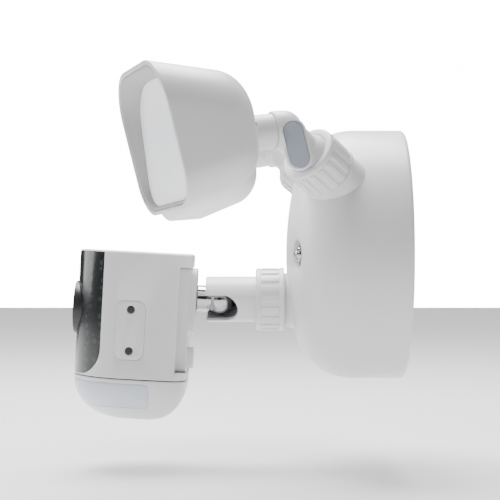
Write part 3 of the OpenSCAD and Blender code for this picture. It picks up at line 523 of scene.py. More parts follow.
def makeBase(values):
    corner, dome, domeCentre = domeProfile(values)
    edge = values["rearEdge"]
    rear = arcRings(values["radius"] - edge, edge, edge, -90, 0, 5)
    side = [(values["radius"], edge + (corner[0][1] - edge) * i / 4) for i in range(1, 4)]
    inset = [(values["radius"] - values["wall"] - 0.2 * mm, 0)]
    housing = ringBody("baseHousing", inset + rear + side + corner + dome, 160)
    pick(housing, "FACE", lambda centre, normal: normal.z < -0.9 and centre.length < 0.01)
    bpy.ops.mesh.delete(type="FACE")
    leaveEdit()
    thicken(housing, values["wall"])
    floor = domeCentre + math.sqrt(values["domeRadius"] ** 2 - values["studX"] ** 2) - values["recessDepth"]
    r = values["recessRadius"]
    cups = []
    for side in (-1, 1):
        centre = (side * values["studX"], 0, 0)
        hole = ringBody("hole", [(r, floor - 1 * mm), (r, floor + 30 * mm)], 64)
        cut(housing, placed(hole, Matrix.Translation(centre)))
        cup = ringBody("cup", [
            (2.6 * mm, floor - 2.5 * mm), (r + 1.8 * mm, floor - 2.5 * mm), (r + 1.8 * mm, floor + 1.5 * mm),
            (r + 1.2 * mm, floor + 3.4 * mm), (r, floor + 3.6 * mm), (r, floor + 0.8 * mm),
            (r - 0.8 * mm, floor), (2.6 * mm, floor)], 64, True)
        cups.append(placed(cup, Matrix.Translation(centre)))
    placed(housing, facingFront)
    for cup in cups:
        placed(cup, facingFront)
    bosses = []
    for mirror in (False, True):
        boss = ringBody("lampBoss", [
            (9 * mm, -14 * mm), (values["lampBoss"] + 2 * mm, -14 * mm),
            (values["lampBoss"] + 0.5 * mm, -6 * mm),
            (values["lampBoss"], -3 * mm), (values["lampBoss"], -0.9 * mm),
            (values["lampBoss"] - 0.5 * mm, -0.4 * mm),
            (values["lampSpigot"], -0.4 * mm), (values["lampSpigot"], 11.9 * mm),
            (values["lampSpigot"] - 0.5 * mm, 12.4 * mm), (12.7 * mm, 12.4 * mm), (12.7 * mm, 1 * mm),
            (9 * mm, 1 * mm)],
            72, True)
        placed(boss, places["boss"])
        bosses.append(mirrored(boss, "bossCopy") if mirror else boss)
        if mirror:
            bpy.data.objects.remove(boss)
    rear = 71 * mm
    arm = ringBody("cameraBoss", [
        (10.5 * mm, rear - 10 * mm), (values["cameraBoss"] + 2.6 * mm, rear - 9 * mm),
        (values["cameraBoss"] + 1.2 * mm, rear - 3 * mm), (values["cameraBoss"] + 0.4 * mm, rear - 2 * mm),
        (values["cameraBoss"], rear - 1.2 * mm), (values["cameraBoss"] - 0.3 * mm, rear - 0.5 * mm),
        (values["cameraSpigot"] - 0.2 * mm, rear - 0.4 * mm), (values["cameraSpigot"], rear),
        (values["cameraSpigot"], rear + 8.6 * mm), (10.5 * mm, rear + 8.6 * mm)], 96, True)
    bosses.append(placed(arm, places["cameraArm"]))
    joined(housing, *cups, *bosses)
    dress(housing, finishes["white_plastic"], "white_plastic", "base", "base_housing")
    print("base housing", len(housing.data.polygons))


# Lock nuts

nutValues = {
    "ribs": 18, "ribHeight": 1 * mm, "rim": 2.4 * mm,
    "camera": {
        "radius": 19 * mm, "length": 16.8 * mm, "bore": 15.58 * mm, "lip": 5.4 * mm, "mouth": 14.0 * mm},
    "lamp": {"radius": 17 * mm, "length": 22 * mm, "bore": 14.48 * mm, "lip": 7.2 * mm, "mouth": 12.3 * mm},
}


def makeNut(name, values):
    r, length, rim = values["radius"], values["length"], nutValues["rim"]
    valley = r - nutValues["ribHeight"]
    lip = length - values["lip"]
    rings = [
        (values["bore"], 0), (r - 0.6 * mm, 0), (r - 0.15 * mm, 0.2 * mm), (r, 0.7 * mm), (r, rim - 0.5 * mm),
        (r - 0.25 * mm, rim), (valley, rim + 0.7 * mm), (valley, length - rim - 0.7 * mm),
        (r - 0.5 * mm, length - rim), (r - 0.4 * mm, length - rim + 0.4 * mm),
        (r - 0.4 * mm, length - 1.1 * mm),
        (r - 0.9 * mm, length - 0.25 * mm), (r - 1.5 * mm, length), (values["mouth"] + 0.3 * mm, length),
        (values["mouth"], length - 0.4 * mm), (values["mouth"], lip), (values["bore"], lip)]
    nut = ringBody(name, rings, nutValues["ribs"] * 8, True)
    pitch = 2 * math.pi / nutValues["ribs"]
    bandLow, bandHigh = rim + 0.5 * mm, length - rim - 0.5 * mm

    def onRib(centre, normal):
        around = (math.atan2(centre.y, centre.x) / pitch) % 1
        outside = math.hypot(centre.x, centre.y) > valley * 0.97
        return outside and bandLow < centre.z < bandHigh and 0.26 < around < 0.74

    pick(nut, "FACE", onRib)
    rise = nutValues["ribHeight"] * 0.72
    bpy.ops.mesh.extrude_region_shrink_fatten(TRANSFORM_OT_shrink_fatten={"value": rise})
    leaveEdit()
    return soften(nut, 0.28 * mm, 2, 30)


def makeNuts():
    lampNut = placed(makeNut("rightLockNut", nutValues["lamp"]), places["boss"])
    leftNut = mirrored(lampNut, "leftLockNut")
    cameraNut = makeNut("cameraLockNut", nutValues["camera"])
    placed(cameraNut, places["cameraArm"] @ Matrix.Translation((0, 0, 71 * mm)))
    white = finishes["white_plastic"]
    dress(lampNut, white, "white_plastic", "right_nut", "right_lock_nut")
    dress(leftNut, white, "white_plastic", "left_nut", "left_lock_nut")
    dress(cameraNut, white, "white_plastic", "camera_nut", "camera_lock_nut")
    print("lock nuts", len(lampNut.data.polygons))


# Lamp arms

armValues = {
    "ball": 12.8 * mm, "radius": 9.4 * mm, "elbow": 11 * mm, "collar": 6.5 * mm, "cheek": 12.4 * mm,
    "capHeight": 25.6 * mm, "capWidth": 11 * mm, "capLean": 14, "voxel": 0.55 * mm,
}


def pill(name, width, height, x0, x1, edge=0.0):
    # a pill-shaped plate whose normal is local X
    r = width / 2
    straight = height / 2 - r
    rings = [(r - edge, x0), (r, x0 + edge), (r, x1 - edge), (r - edge, x1)] if edge else [(r, x0), (r, x1)]
    plate = ringBody(name, rings, 64)
    pick(plate, "VERT", lambda co: co.x < 1e-7)
    bpy.ops.transform.translate(value=(-straight, 0, 0))
    leaveEdit()
    pick(plate, "VERT", lambda co: co.x > 1e-7)
    bpy.ops.transform.translate(value=(straight, 0, 0))
    leaveEdit()
    # local Z of the rings becomes X, and the long way becomes Z
    return placed(plate, Matrix.Rotation(math.radians(90), 4, "Y"))


def makeArm(values):
    ball, elbow = places["ball"], places["elbow"]
    direction, length = lampValues["armDirection"], lampValues["armLength"]
    deselectAll()
    bpy.ops.mesh.primitive_uv_sphere_add(segments=48, ring_count=24, radius=values["ball"], location=ball)
    bpy.ops.object.transform_apply(location=True, rotation=True, scale=True)
    arm = named("rightArm")
    shaft = ringBody("shaft", [(values["radius"], 0), (values["radius"], length)], 64)
    placed(shaft, Matrix.Translation(ball) @ along(direction))
    deselectAll()
    bpy.ops.mesh.primitive_uv_sphere_add(segments=48, ring_count=24, radius=values["elbow"], location=elbow)
    bpy.ops.object.transform_apply(location=True, rotation=True, scale=True)
    knee = named("knee")
    collar = ringBody("collar", [(values["elbow"], 0), (values["elbow"], values["collar"])], 64)
    placed(collar, Matrix.Translation(elbow) @ along(places["forward"]))
    cheekAt = ball + direction * length * 0.56 - Vector((0, 0, 2 * mm))
    lean = Matrix.Rotation(math.radians(values["capLean"]), 4, "X")
    cheekPlace = Matrix.Translation(cheekAt) @ lean
    boss = pill("cheek", values["capWidth"] + 3.2 * mm, values["capHeight"] + 3.2 * mm, 0, values["cheek"])
    placed(boss, cheekPlace)
    keepClear = ringBody("keepClear", [(18 * mm, 0), (18 * mm, 23 * mm)], 64)
    cut(boss, placed(keepClear, places["boss"]))
    for part in (shaft, knee, collar, boss):
        cut(arm, part, "UNION")
    endCut = ringBody("endCut", [(14 * mm, values["collar"]), (14 * mm, values["collar"] + 14 * mm)], 48)
    endPlace = Matrix.Translation(elbow) @ along(places["forward"])
    cut(arm, placed(endCut, endPlace))
    remeshed(arm, values["voxel"], 9)
    pocket = pill("pocket", values["capWidth"] + 0.5 * mm, values["capHeight"] + 0.5 * mm,
                  values["cheek"] - 1.2 * mm, values["cheek"] + 14 * mm)
    cut(arm, placed(pocket, cheekPlace))
    cap = pill("rightArmCap", values["capWidth"], values["capHeight"], values["cheek"] - 1.2 * mm,
               values["cheek"] + 0.2 * mm, 0.35 * mm)
    placed(cap, cheekPlace)
    leftArm, leftCap = mirrored(arm, "leftArm"), mirrored(cap, "leftArmCap")
    for side, piece, plate in (("right", arm, cap), ("left", leftArm, leftCap)):
        dress(piece, finishes["white_plastic"], "white_plastic", side + "_lamp", side + "_arm")
        dress(plate, finishes["cap_grey"], "cap_grey", side + "_lamp", side + "_arm_cap")
    print("arms", len(arm.data.polygons))


# Lamps

hoodValues = {
    "width": 90 * mm, "height": 79 * mm, "depth": 50.5 * mm, "lean": 6.7, "midZ": 2.2 * mm,
    "topTaper": 11, "bottomTaper": 13, "sideTaper": 7, "topRadius": 26 * mm, "bottomRadius": 19 * mm,
    "rearRadius": 16 * mm, "wall": 2.2 * mm, "lining": 2 * mm, "recess": 7.5 * mm, "neckRadius": 9.8 * mm,
}


def slopes(values):
    return [math.tan(math.radians(values[key])) for key in ("topTaper", "bottomTaper", "sideTaper", "lean")]


def hoodBlock(name, values, inset, rearAt, reach, rearRadius):
    # a tapered block with its mouth leaning back, rounded like the hood; inset pulls its sides in
    topSlope, bottomSlope, sideSlope, leanSlope = slopes(values)
    halfHeight = values["height"] / 2
    top, bottom = values["midZ"] + halfHeight, values["midZ"] - halfHeight
    topY, bottomY = values["depth"] + halfHeight * leanSlope, values["depth"] - halfHeight * leanSlope
    block = box(name, (-0.5, -0.5, -0.5), (0.5, 0.5, 0.5))
    spread = values["width"] / 2 - inset
    for vertex in block.data.vertices:
        isTop, isFront = vertex.co.z > 0, vertex.co.y < 0
        mouthY = topY if isTop else bottomY
        y = mouthY + reach if isFront else rearAt
        slope = topSlope if isTop else -bottomSlope
        z = (top - inset if isTop else bottom + inset) - (mouthY - y) * slope
        x = spread - (values["depth"] - y) * sideSlope
        vertex.co = (math.copysign(x, vertex.co.x), -y, z)
    for isTop, radius in ((True, values["topRadius"] - inset), (False, values["bottomRadius"] - inset)):

        def isLongEdge(mid, way):
            return abs(way.y) > 0.9 and (mid.z > values["midZ"]) == isTop and abs(mid.x) > spread * 0.7

        pick(block, "EDGE", isLongEdge)
        bpy.ops.mesh.bevel(offset=radius, segments=14, affect="EDGES", profile=0.5)
        leaveEdit()
    if rearRadius:
        pick(block, "EDGE", lambda mid, way: mid.y > -rearAt - 0.2 * mm and abs(way.y) < 0.2)
        bpy.ops.mesh.bevel(offset=rearRadius, segments=10, affect="EDGES", profile=0.5, clamp_overlap=True)
        leaveEdit()
    return tidyFaces(block, 0.00001)


def openMouth(block):
    pick(block, "FACE", lambda centre, normal: normal.y < -0.9)
    bpy.ops.mesh.delete(type="FACE")
    leaveEdit()


def makeLamp(values):
    shell = hoodBlock("rightHood", values, 0, 0, 0, values["rearRadius"])
    openMouth(shell)
    thicken(shell, values["wall"])
    soften(shell, 0.45 * mm, 3, 60)
    neckRings = [(3.5 * mm, 18.4 * mm), (values["neckRadius"] - 0.4 * mm, 18.4 * mm),
                 (values["neckRadius"], 18.0 * mm), (values["neckRadius"], 3 * mm)]
    fillet = 3 * mm
    neckRings += [(values["neckRadius"] + fillet * (1 - math.cos(a)), fillet * (1 - math.sin(a)))
                  for a in map(math.radians, (20, 40, 60, 80))]
    neckRings += [(values["neckRadius"] + 3 * mm, -1 * mm), (3.5 * mm, -1 * mm)]
    neck = ringBody("neck", neckRings, 64, True)
    placed(neck, Matrix.Rotation(math.radians(-90), 4, "X"))
    tenon = ringBody("tenon", [(3.5 * mm, 18 * mm), (6.4 * mm, 18 * mm), (6.4 * mm, 21.7 * mm),
        (3.5 * mm, 21.7 * mm)], 48, True)
    placed(tenon, Matrix.Rotation(math.radians(-90), 4, "X"))
    joined(shell, neck, tenon)
    placed(shell, places["lamp"])
    leftShell = mirrored(shell, "leftHood")
    diffuserAt = values["depth"] - values["recess"]
    lining = hoodBlock("rightLining", values, values["wall"] + 0.12 * mm, diffuserAt - 5 * mm, -0.5 * mm, 0)
    inner = hoodBlock("inner", values, values["wall"] + values["lining"], diffuserAt - 12 * mm, 6 * mm, 0)
    cut(lining, inner)
    soften(lining, 0.4 * mm, 2, 40)
    placed(lining, places["lamp"])
    leftLining = mirrored(lining, "leftLining")
    window = hoodBlock("rightDiffuser", values, values["wall"] + values["lining"] + 0.1 * mm,
        diffuserAt - 2 * mm, 8 * mm, 0)
    front = box("front", (-0.1, -0.2, -0.1), (0.1, -diffuserAt, 0.1))
    cut(window, front)
    soften(window, 0.5 * mm, 3, 40)
    placed(window, places["lamp"])
    leftWindow = mirrored(window, "leftDiffuser")
    for side, pieces in (("right", (shell, lining, window)), ("left", (leftShell, leftLining, leftWindow))):
        for piece, slotName, node in zip(pieces, ("white_plastic", "warm_plastic", "milky"),
                                         ("_lamp_shell", "_front_frame", "_diffuser")):
            finish = finishes["diffuser" if slotName == "milky" else slotName]
            dress(piece, finish, slotName, side + "_lamp", side + node)
    print("lamps", len(shell.data.polygons), len(lining.data.polygons), len(window.data.polygons))


# Camera arm

socketValues = {
    "radius": 13.6 * mm, "bore": 11.3 * mm, "rearBore": 8 * mm, "start": 78.6 * mm, "end": 117.6 * mm,
    "slot": 8.5 * mm, "ballY": 109.5 * mm, "slotEnd": 98.5 * mm, "ball": 9.3 * mm, "stem": 7.8 * mm,
    "stemEnd": 13.6 * mm, "pin": 5 * mm, "pinEnd": 26.2 * mm,
}


def makeSocket(values):
    r, end = values["radius"], values["end"]
    tube = ringBody("socketTube", [
        (values["rearBore"], values["start"]), (r + 1.4 * mm, values["start"]),
        (r + 1.4 * mm, values["start"] + 2 * mm),
        (r, values["start"] + 2 * mm), (r, end - 0.5 * mm), (r - 0.5 * mm, end),
        (values["bore"] + 0.4 * mm, end),
        (values["bore"], end - 0.4 * mm), (values["bore"], end - 20 * mm),
        (values["rearBore"], end - 20 * mm)], 128, True)
    liner = ringBody("socketLiner", [
        (5 * mm, end - 20 * mm), (11.2 * mm, end - 20 * mm), (11.2 * mm, end - 0.8 * mm),
        (8.5 * mm, end - 0.8 * mm),
        (8.5 * mm, values["ballY"] + 3.9 * mm), (9.38 * mm, values["ballY"]),
        (8.0 * mm, values["ballY"] - 5 * mm),
        (5 * mm, values["ballY"] - 8 * mm)], 96, True)
    for piece, half in ((tube, values["slot"]), (liner, values["slot"] + 0.1 * mm)):
        slotTool = ringBody("slot", [(half, 0), (half, 20 * mm)], 64)
        pick(slotTool, "VERT", lambda co: co.x < -1e-7)
        bpy.ops.transform.translate(value=(-30 * mm, 0, 0))
        leaveEdit()
        roundEnd = Matrix.Translation((0, 0, values["slotEnd"] + values["slot"]))
        turn = roundEnd @ Matrix.Rotation(math.radians(90), 4, "Y")
        cut(piece, placed(slotTool, turn))
        placed(piece, places["cameraArm"])
    soften(tube, 0.45 * mm, 3, 40)
    dress(tube, finishes["white_plastic"], "white_plastic", "socket", "camera_socket")
    dress(liner, finishes["grey_plastic"], "grey_plastic", "socket", "socket_liner")
    ball = values["ball"]
    neckAngle = math.degrees(math.asin(values["stem"] / ball))
    rings = arcRings(0, 0, ball, -74, 90 - neckAngle, 26)
    rings += [(values["stem"], 9 * mm), (values["stem"], values["stemEnd"] - 0.6 * mm),
              (values["stem"] - 0.6 * mm, values["stemEnd"]), (values["pin"], values["stemEnd"]),
              (values["pin"], values["pinEnd"] - 0.4 * mm), (values["pin"] - 0.4 * mm, values["pinEnd"]),
              (2.5 * mm, values["pinEnd"])]
    stem = ringBody("ballStem", [(2.5 * mm, rings[0][1])] + rings, 96, True)
    placed(stem, places["camera"] @ facingFront)
    dress(stem, finishes["chrome"], "chrome", "stem", "ball_stem")
    print("camera arm", len(tube.data.polygons), len(stem.data.polygons))


# Camera

cameraValues = {
    "half": 33 * mm, "front": 84.6 * mm, "rear": 16.7 * mm, "top": 26 * mm, "bottom": 73 * mm,
    "seam": -48.1 * mm,
    "rearCorner": 13 * mm, "frontDrop": 26 * mm, "rearDrop": 21 * mm, "sideDrop": 22 * mm,
    "dropHeight": 23.5 * mm,
    "edge": 1.5 * mm, "gap": 0.3 * mm, "notchY": 23.8 * mm, "notchTop": 18.2 * mm, "notchBottom": -43.6 * mm,
    "panelAngle": 61, "panelThickness": 1.3 * mm, "panelCorner": 15 * mm, "panelTop": 25 * mm,
    "panelBottom": -46.7 * mm,
    "bezel": 15.7 * mm, "lensDrop": 8.9 * mm, "coverY": 50.4 * mm, "coverZ": -19.6 * mm,
    "coverWidth": 17.2 * mm, "coverHeight": 34.4 * mm, "coverCorner": 5 * mm, "screwZ": 12 * mm,
    "windowRear": 38 * mm, "windowTop": -50.8 * mm, "windowBottom": -65.0 * mm, "windowCorner": 3 * mm,
}


def cameraPlan(name, values, height, inset=0.0):
    deselectAll()
    depth = values["front"] - values["rear"] - 2 * inset
    middle = -(values["front"] + values["rear"]) / 2
    width = 2 * (values["half"] - inset)
    bpy.ops.mesh.primitive_plane_add(size=1, location=(0, middle, height))
    bpy.context.object.scale = (width, depth, 1)
    bpy.ops.object.transform_apply(location=True, rotation=True, scale=True)
    plan = named(name)
    pick(plan, "VERT", lambda co: co.y < middle)
    bpy.ops.mesh.bevel(offset=(values["half"] - inset) * 0.9999, segments=24, affect="VERTICES")
    leaveEdit()
    pick(plan, "VERT", lambda co: co.y > middle + depth / 2 - 1e-6)
    bpy.ops.mesh.bevel(offset=values["rearCorner"] - inset, segments=10, affect="VERTICES")
    leaveEdit()
    return plan


def raisePlan(plan, values, steps):
    # steps are (height, front inset, rear inset, side inset); each ring is set from the full outline
    halfDepth = (values["front"] - values["rear"]) / 2
    middle = -(values["front"] + values["rear"]) / 2
    activate(plan)
    bpy.ops.object.mode_set(mode="EDIT")
    bpy.ops.mesh.select_mode(type="FACE")
    bpy.ops.mesh.select_all(action="SELECT")
    last = steps[0]
    for step in steps[1:]:
        bpy.ops.mesh.extrude_region_move(TRANSFORM_OT_translate={"value": (0, 0, step[0] - last[0])})
        sideScale = (values["half"] - step[3]) / (values["half"] - last[3])
        depthScale = (2 * halfDepth - step[1] - step[2]) / (2 * halfDepth - last[1] - last[2])
        lastMiddle = middle + (last[1] - last[2]) / 2
        newMiddle = middle + (step[1] - step[2]) / 2
        bpy.ops.transform.resize(value=(sideScale, depthScale, 1), center_override=(0, lastMiddle, step[0]))
        bpy.ops.transform.translate(value=(0, newMiddle - lastMiddle, 0))
        last = step
    leaveEdit()
    return tidyFaces(plan, 0.000005)


def level(height, inset):
    return (height, inset, inset, inset)


def plateOutline(name, low, high, corner, segments=8):
    # a flat plate in local X and Z, facing the front, with rounded corners
    deselectAll()
    bpy.ops.mesh.primitive_plane_add(size=1, location=(0, 0, 0))
    bpy.context.object.scale = (high[0] - low[0], high[1] - low[1], 1)
    bpy.context.object.location = ((low[0] + high[0]) / 2, (low[1] + high[1]) / 2, 0)
    bpy.ops.object.transform_apply(location=True, rotation=True, scale=True)
    plate = named(name)
    bpy.ops.object.mode_set(mode="EDIT")
    bpy.ops.mesh.select_mode(type="VERT")
    bpy.ops.mesh.select_all(action="SELECT")
    bpy.ops.mesh.bevel(offset=corner, segments=segments, affect="VERTICES")
    leaveEdit()
    return plate


def prism(name, low, high, corner, z0, z1, segments=8):
    plate = plateOutline(name, low, high, corner, segments)
    activate(plate)
    bpy.ops.object.mode_set(mode="EDIT")
    bpy.ops.mesh.select_all(action="SELECT")
    bpy.ops.transform.translate(value=(0, 0, z0))
    bpy.ops.mesh.extrude_region_move(TRANSFORM_OT_translate={"value": (0, 0, z1 - z0)})
    leaveEdit()
    return tidyFaces(plate)


def frontPanel(name, values, grow, low, high):
    # a flat plate wrapped round the camera's front, from radius low to radius high
    r = values["half"]
    half = r * math.radians(values["panelAngle"]) + grow
    deselectAll()
    bpy.ops.mesh.primitive_plane_add(size=1)
    plate = named(name)
    top, bottom = values["panelTop"] + grow, values["panelBottom"] - grow
    plate.scale = (2 * half, top - bottom, 1)
    plate.location = (0, (top + bottom) / 2, 0)
    bpy.ops.object.transform_apply(location=True, rotation=True, scale=True)
    pick(plate, "VERT", lambda co: co.y < 0)
    bpy.ops.mesh.bevel(offset=values["panelCorner"], segments=10, affect="VERTICES")
    bpy.ops.mesh.select_all(action="SELECT")
    cuts = 40
    for i in range(1, cuts):
        bpy.ops.mesh.select_all(action="SELECT")
        bpy.ops.mesh.bisect(plane_co=(-half + 2 * half * i / cuts, 0, 0), plane_no=(1, 0, 0))
    bpy.ops.mesh.select_all(action="SELECT")
    bpy.ops.mesh.extrude_region_move(TRANSFORM_OT_translate={"value": (0, 0, high - low)})
    leaveEdit()
    centre = values["front"] - r
    for vertex in plate.data.vertices:
        across, up, out = vertex.co
        turn = across / r
        radius = low + out
        vertex.co = (radius * math.sin(turn), -centre - radius * math.cos(turn), up)
    return tidyFaces(plate, 0.000005)


def alongX(piece):
    # local X and Y of a plate become Y and Z, and its thickness runs along X
    quarter = math.radians(90)
    return placed(piece, Matrix.Rotation(quarter, 4, "Z") @ Matrix.Rotation(quarter, 4, "X"))


def makeCameraShell(values):
    z0, top, edge = values["seam"] + values["gap"], values["top"], values["edge"]
    steps = [level(z0, 0.3 * mm), level(z0 + 0.3 * mm, 0)]
    steps += [level(top - edge + edge * math.sin(a), edge * (1 - math.cos(a)))
              for a in [math.radians(15 * i) for i in range(7)]]
    shell = raisePlan(cameraPlan("cameraShell", values, z0, 0.3 * mm), values, steps)
    notch = box("notch", (-0.05, -values["notchY"], values["notchBottom"]), (0.05, 0, values["notchTop"]))
    cut(shell, notch)
    wall = 2.8 * mm
    inside = cameraPlan("inside", values, values["seam"] - 1 * mm, wall)
    inside = raisePlan(inside, values, [level(values["seam"] - 1 * mm, wall), level(top - wall, wall)])
    rearWall = box("rearWall", (-0.05, -values["notchY"] - wall, -0.06), (0.05, 0, 0.06))
    cut(inside, rearWall)
    cut(shell, inside)
    r = values["half"]
    recessFloor = r - values["panelThickness"] - 0.1 * mm
    cut(shell, frontPanel("panelRecess", values, 0.12 * mm, recessFloor, r + 3 * mm))
    lensHole = prism("lensHole", (-20 * mm, -36 * mm), (20 * mm, 17 * mm), 4 * mm, 50 * mm, 90 * mm)
    cut(shell, placed(lensHole, facingFront))
    half = (values["coverWidth"] / 2 + 0.12 * mm, values["coverHeight"] / 2 + 0.12 * mm)
    recess = prism("coverRecess", (-values["coverY"] - half[0], values["coverZ"] - half[1]),
                   (-values["coverY"] + half[0], values["coverZ"] + half[1]), values["coverCorner"],
                   r - 1.35 * mm, r + 3 * mm)
    cut(shell, alongX(recess))
    soften(shell, 0.3 * mm, 2, 50)
    placed(shell, places["camera"])
    dress(shell, finishes["white_plastic"], "white_plastic", "camera", "camera_shell")
    print("camera shell", len(shell.data.polygons))


def makeCameraPanel(values):
    r = values["half"]
    panel = frontPanel("frontPanel", values, 0, r - values["panelThickness"], r)
    hole = ringBody("hole", [(14.2 * mm, 40 * mm), (14.2 * mm, 95 * mm)], 64)
    lens = Matrix.Translation((0, 0, -values["lensDrop"])) @ facingFront
    cut(panel, placed(hole, lens))
    soften(panel, 0.3 * mm, 2, 50)
    placed(panel, places["camera"])
    dress(panel, finishes["black_gloss"], "black_gloss", "camera", "front_panel")
    front = values["front"]
    bezel = ringBody("lensBezel", [
        (11.05 * mm, front - 6 * mm), (14.1 * mm, front - 6 * mm), (14.1 * mm, front - 4.6 * mm),
        (15.0 * mm, front - 4.6 * mm),
        (values["bezel"], front - 4.2 * mm), (values["bezel"], front + 0.7 * mm),
        (values["bezel"] - 0.3 * mm, front + 1.3 * mm),
        (values["bezel"] - 0.9 * mm, front + 1.6 * mm), (13.6 * mm, front + 1.6 * mm),
        (12.9 * mm, front + 1.3 * mm),
        (11.3 * mm, front + 0.1 * mm), (11.05 * mm, front - 0.4 * mm)], 96, True)
    coreValues = {**values, "panelAngle": 40, "panelCorner": 2 * mm}
    core = frontPanel("core", coreValues, 0, r - 8 * mm, r + 0.05 * mm)
    cut(placed(bezel, lens), core)
    placed(bezel, places["camera"])
    dress(bezel, finishes["bezel"], "black_gloss", "camera", "lens_bezel")
    glassRings = [(10.9 * mm, front - 1.4 * mm), (10.9 * mm, front - 0.6 * mm)]
    glassRings += [(10.9 * mm * math.cos(a), front - 0.6 * mm + 0.6 * mm * math.sin(a))
                   for a in map(math.radians, (15, 30, 45, 60, 75))] + [(0, front)]
    glass = ringBody("lensGlass", glassRings, 64)
    placed(glass, places["camera"] @ lens)
    dress(glass, finishes["lens"], "lens", "camera", "lens_glass")
    print("camera front", len(panel.data.polygons), len(bezel.data.polygons))


def bowlSteps(values, z0, inset=0.0):
    steps = []
    height = values["dropHeight"]
    start = values["bottom"] - height
    for i in range(13):
        a = math.radians(7.5 * i)
        fall = 1 - math.cos(a)
        z = -(start + (height - inset) * math.sin(a))
        if z < z0 - 0.2 * mm:
            steps.append((z, inset + (values["frontDrop"] - inset) * fall,
                inset + (values["rearDrop"] - inset) * fall,
                          inset + (values["sideDrop"] - inset) * fall))
    return steps


def makeBottomCap(values):
    z0 = values["seam"] - values["gap"]
    steps = [level(z0, 0.3 * mm), level(z0 - 0.3 * mm, 0)] + bowlSteps(values, z0 - 0.3 * mm)
    bowl = raisePlan(cameraPlan("bottomCap", values, z0, 0.3 * mm), values, steps)
    wall = 2.4 * mm
    rim, start = z0 + 1 * mm, z0 - 0.4 * mm
    innerSteps = [level(rim, wall), level(start, wall)] + bowlSteps(values, start, wall)
    inner = raisePlan(cameraPlan("inner", values, rim, wall), values, innerSteps)
    skinWall = 0.9 * mm
    skinSteps = [level(rim, skinWall), level(start, skinWall)] + bowlSteps(values, start, skinWall)
    under = raisePlan(cameraPlan("under", values, rim, skinWall), values, skinSteps)
    window = copied(bowl, "motionWindow")
    cut(window, under)
    cut(bowl, inner)

    def windowBlock(grow):
        block = prism("windowBlock", (-0.1, values["windowBottom"] - grow),
            (-values["windowRear"] + grow, values["windowTop"] + grow),
                      values["windowCorner"] + grow, -0.05, 0.05)
        return alongX(block)

    cut(window, windowBlock(0), "INTERSECT")
    cut(bowl, windowBlock(0.12 * mm))
    soften(bowl, 0.25 * mm, 2, 50)
    soften(window, 0.4 * mm, 3, 50)
    placed(bowl, places["camera"])
    placed(window, places["camera"])
    dress(bowl, finishes["white_plastic"], "white_plastic", "camera", "bottom_cap")
    dress(window, finishes["milky"], "milky", "camera", "pir_window")
    print("bottom cap", len(bowl.data.polygons), len(window.data.polygons))


def makeSideCover(values):
    half = (values["coverWidth"] / 2, values["coverHeight"] / 2)
    r = values["half"]
    cover = prism("sideCover", (-values["coverY"] - half[0], values["coverZ"] - half[1]),
                  (-values["coverY"] + half[0], values["coverZ"] + half[1]), values["coverCorner"],
                  r - 1.3 * mm, r)
    alongX(cover)
    screws = []
    for side in (-1, 1):
        centre = Matrix.Translation((0, -values["coverY"], values["coverZ"] + side * values["screwZ"]))
        turn = centre @ Matrix.Rotation(math.radians(90), 4, "Y")
        cut(cover, placed(ringBody("hole", [(2.4 * mm, r - 3 * mm), (2.4 * mm, r + 3 * mm)], 48), turn))
        head = ringBody("screwHead", [
            (1.15 * mm, r - 9 * mm), (1.15 * mm, r - 1.3 * mm), (2.25 * mm, r - 1.3 * mm),
            (2.25 * mm, r - 0.75 * mm),
            (2.1 * mm, r - 0.6 * mm), (1.6 * mm, r - 0.5 * mm)], 48)
        for turnBy in (0, 90):
            slotTool = box("slot", (-1.5 * mm, -0.32 * mm, r - 1.2 * mm), (1.5 * mm, 0.32 * mm, r + 1 * mm))
            cut(head, placed(slotTool, Matrix.Rotation(math.radians(turnBy + 20 * side), 4, "Z")))
        screws.append(placed(head, turn))
    soften(cover, 0.45 * mm, 3, 50)
    screws = joined(*screws)
    screws.name = "sideCoverScrews"
    placed(cover, places["camera"])
    placed(screws, places["camera"])
    dress(cover, finishes["white_plastic"], "white_plastic", "camera", "side_cover")
    dress(screws, finishes["dark_steel"], "dark_steel", "camera", "side_cover_screws")
    print("side cover")


def dressCadNodes():
    slotOf = {part["node"]: part["material_slot"] for part in frame["record"]["subparts"]}
    for name, node in frame["nodes"].items():
        node.data.materials.clear()
        node.data.materials.append(finishes[slotOf[name]])


# Stage

stageValues = {
    "floorZ": cadLow[2] - 0.03, "cameraPlace": (0.9006, -0.0913, 0.00255), "lens": 108, "sensor": 36,
    "roomLight": 0.22, "backdropLight": 16, "floorGlow": 0.75, "floorSize": 5, "middle": (0, -0.09, 0),
    "lights": {  # place, width and height, power
        "topLight": ((-0.25, -0.2, 0.8), (0.7, 0.7), 32),
        "frontLight": ((-0.5, -1.5, 0.5), (1.0, 0.8), 10),
        "stripLight": ((1.3, 0.25, 0.75), (0.12, 0.9), 0.6),
    },
    "cards": {  # place, width and height
        "sideCard": ((1.2, -0.1, 0.34), (0.5, 2.4)),
        "frontCard": ((-0.9, -1.6, 0.0), (2.4, 1.6)),
    },
}


def areaLight(name, place, target, size, power):
    lamp = bpy.data.lights.new(name, "AREA")
    lamp.shape = "RECTANGLE"
    lamp.size, lamp.size_y = size
    lamp.energy = power
    light = bpy.data.objects.new(name, lamp)
    bpy.context.scene.collection.objects.link(light)
    light.location = place
    light.rotation_euler = (Vector(target) - Vector(place)).to_track_quat("-Z", "Y").to_euler()


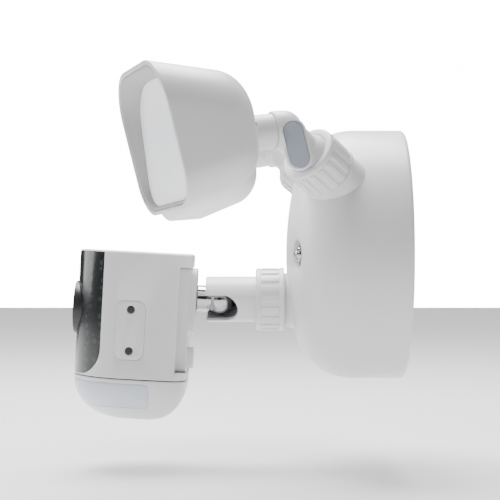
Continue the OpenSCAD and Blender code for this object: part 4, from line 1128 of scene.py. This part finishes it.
def reflectionCard(name, material, place, target, size):  # black, and seen only in reflections
    deselectAll()
    bpy.ops.mesh.primitive_plane_add(size=1, location=place)
    card = named(name)
    card.scale = (size[0], size[1], 1)
    card.rotation_euler = (Vector(target) - Vector(place)).to_track_quat("Z", "Y").to_euler()
    card.data.materials.append(material)
    card.visible_camera = card.visible_diffuse = card.visible_shadow = card.visible_transmission = False


def makeWorld(values):
    world = bpy.data.worlds.new("softRoom")
    bpy.context.scene.world = world
    world.use_nodes = True
    tree = world.node_tree
    background = tree.nodes["Background"]
    background.inputs["Color"].default_value = (1, 1, 1, 1)
    rays = tree.nodes.new("ShaderNodeLightPath")
    levels = tree.nodes.new("ShaderNodeMapRange")
    levels.inputs["To Min"].default_value = values["roomLight"]
    levels.inputs["To Max"].default_value = values["backdropLight"]
    tree.links.new(rays.outputs["Is Camera Ray"], levels.inputs["Value"])
    tree.links.new(levels.outputs["Result"], background.inputs["Strength"])


def makeStage(values):
    deselectAll()
    bpy.ops.mesh.primitive_plane_add(size=values["floorSize"], location=(0, 0, values["floorZ"]))
    bpy.ops.object.transform_apply(location=True, rotation=True, scale=True)
    floor = named("floor")
    paper = mouldedPlastic("paperFloor", (0.6, 0.6, 0.6), 0.85, 0.00002, 300, 0.01)
    paper.feed("Emission Color", (1, 1, 1, 1))
    paper.feed("Emission Strength", values["floorGlow"])
    floor.data.materials.append(paper.material)
    makeWorld(values)
    for name, (place, size, power) in values["lights"].items():
        areaLight(name, place, values["middle"], size, power)
    card = mouldedPlastic("blackCard", (0.004, 0.004, 0.005), 0.9, 0.00002, 300, 0.01)
    for name, (place, size) in values["cards"].items():
        reflectionCard(name, card.material, place, values["middle"], size)
    camera = bpy.data.cameras.new("viewCamera")
    camera.lens = values["lens"]
    camera.sensor_width = values["sensor"]
    camera.clip_start = 0.01
    viewer = bpy.data.objects.new("viewCamera", camera)
    bpy.context.scene.collection.objects.link(viewer)
    viewer.location = values["cameraPlace"]
    viewer.rotation_euler = (math.radians(90), 0, math.radians(90))
    bpy.context.scene.camera = viewer


makeFinishes()
dressCadNodes()
makeStage(stageValues)
makeBase(baseValues)
makeNuts()
makeArm(armValues)
makeLamp(hoodValues)
makeSocket(socketValues)
makeCameraShell(cameraValues)
makeCameraPanel(cameraValues)
makeBottomCap(cameraValues)
makeSideCover(cameraValues)
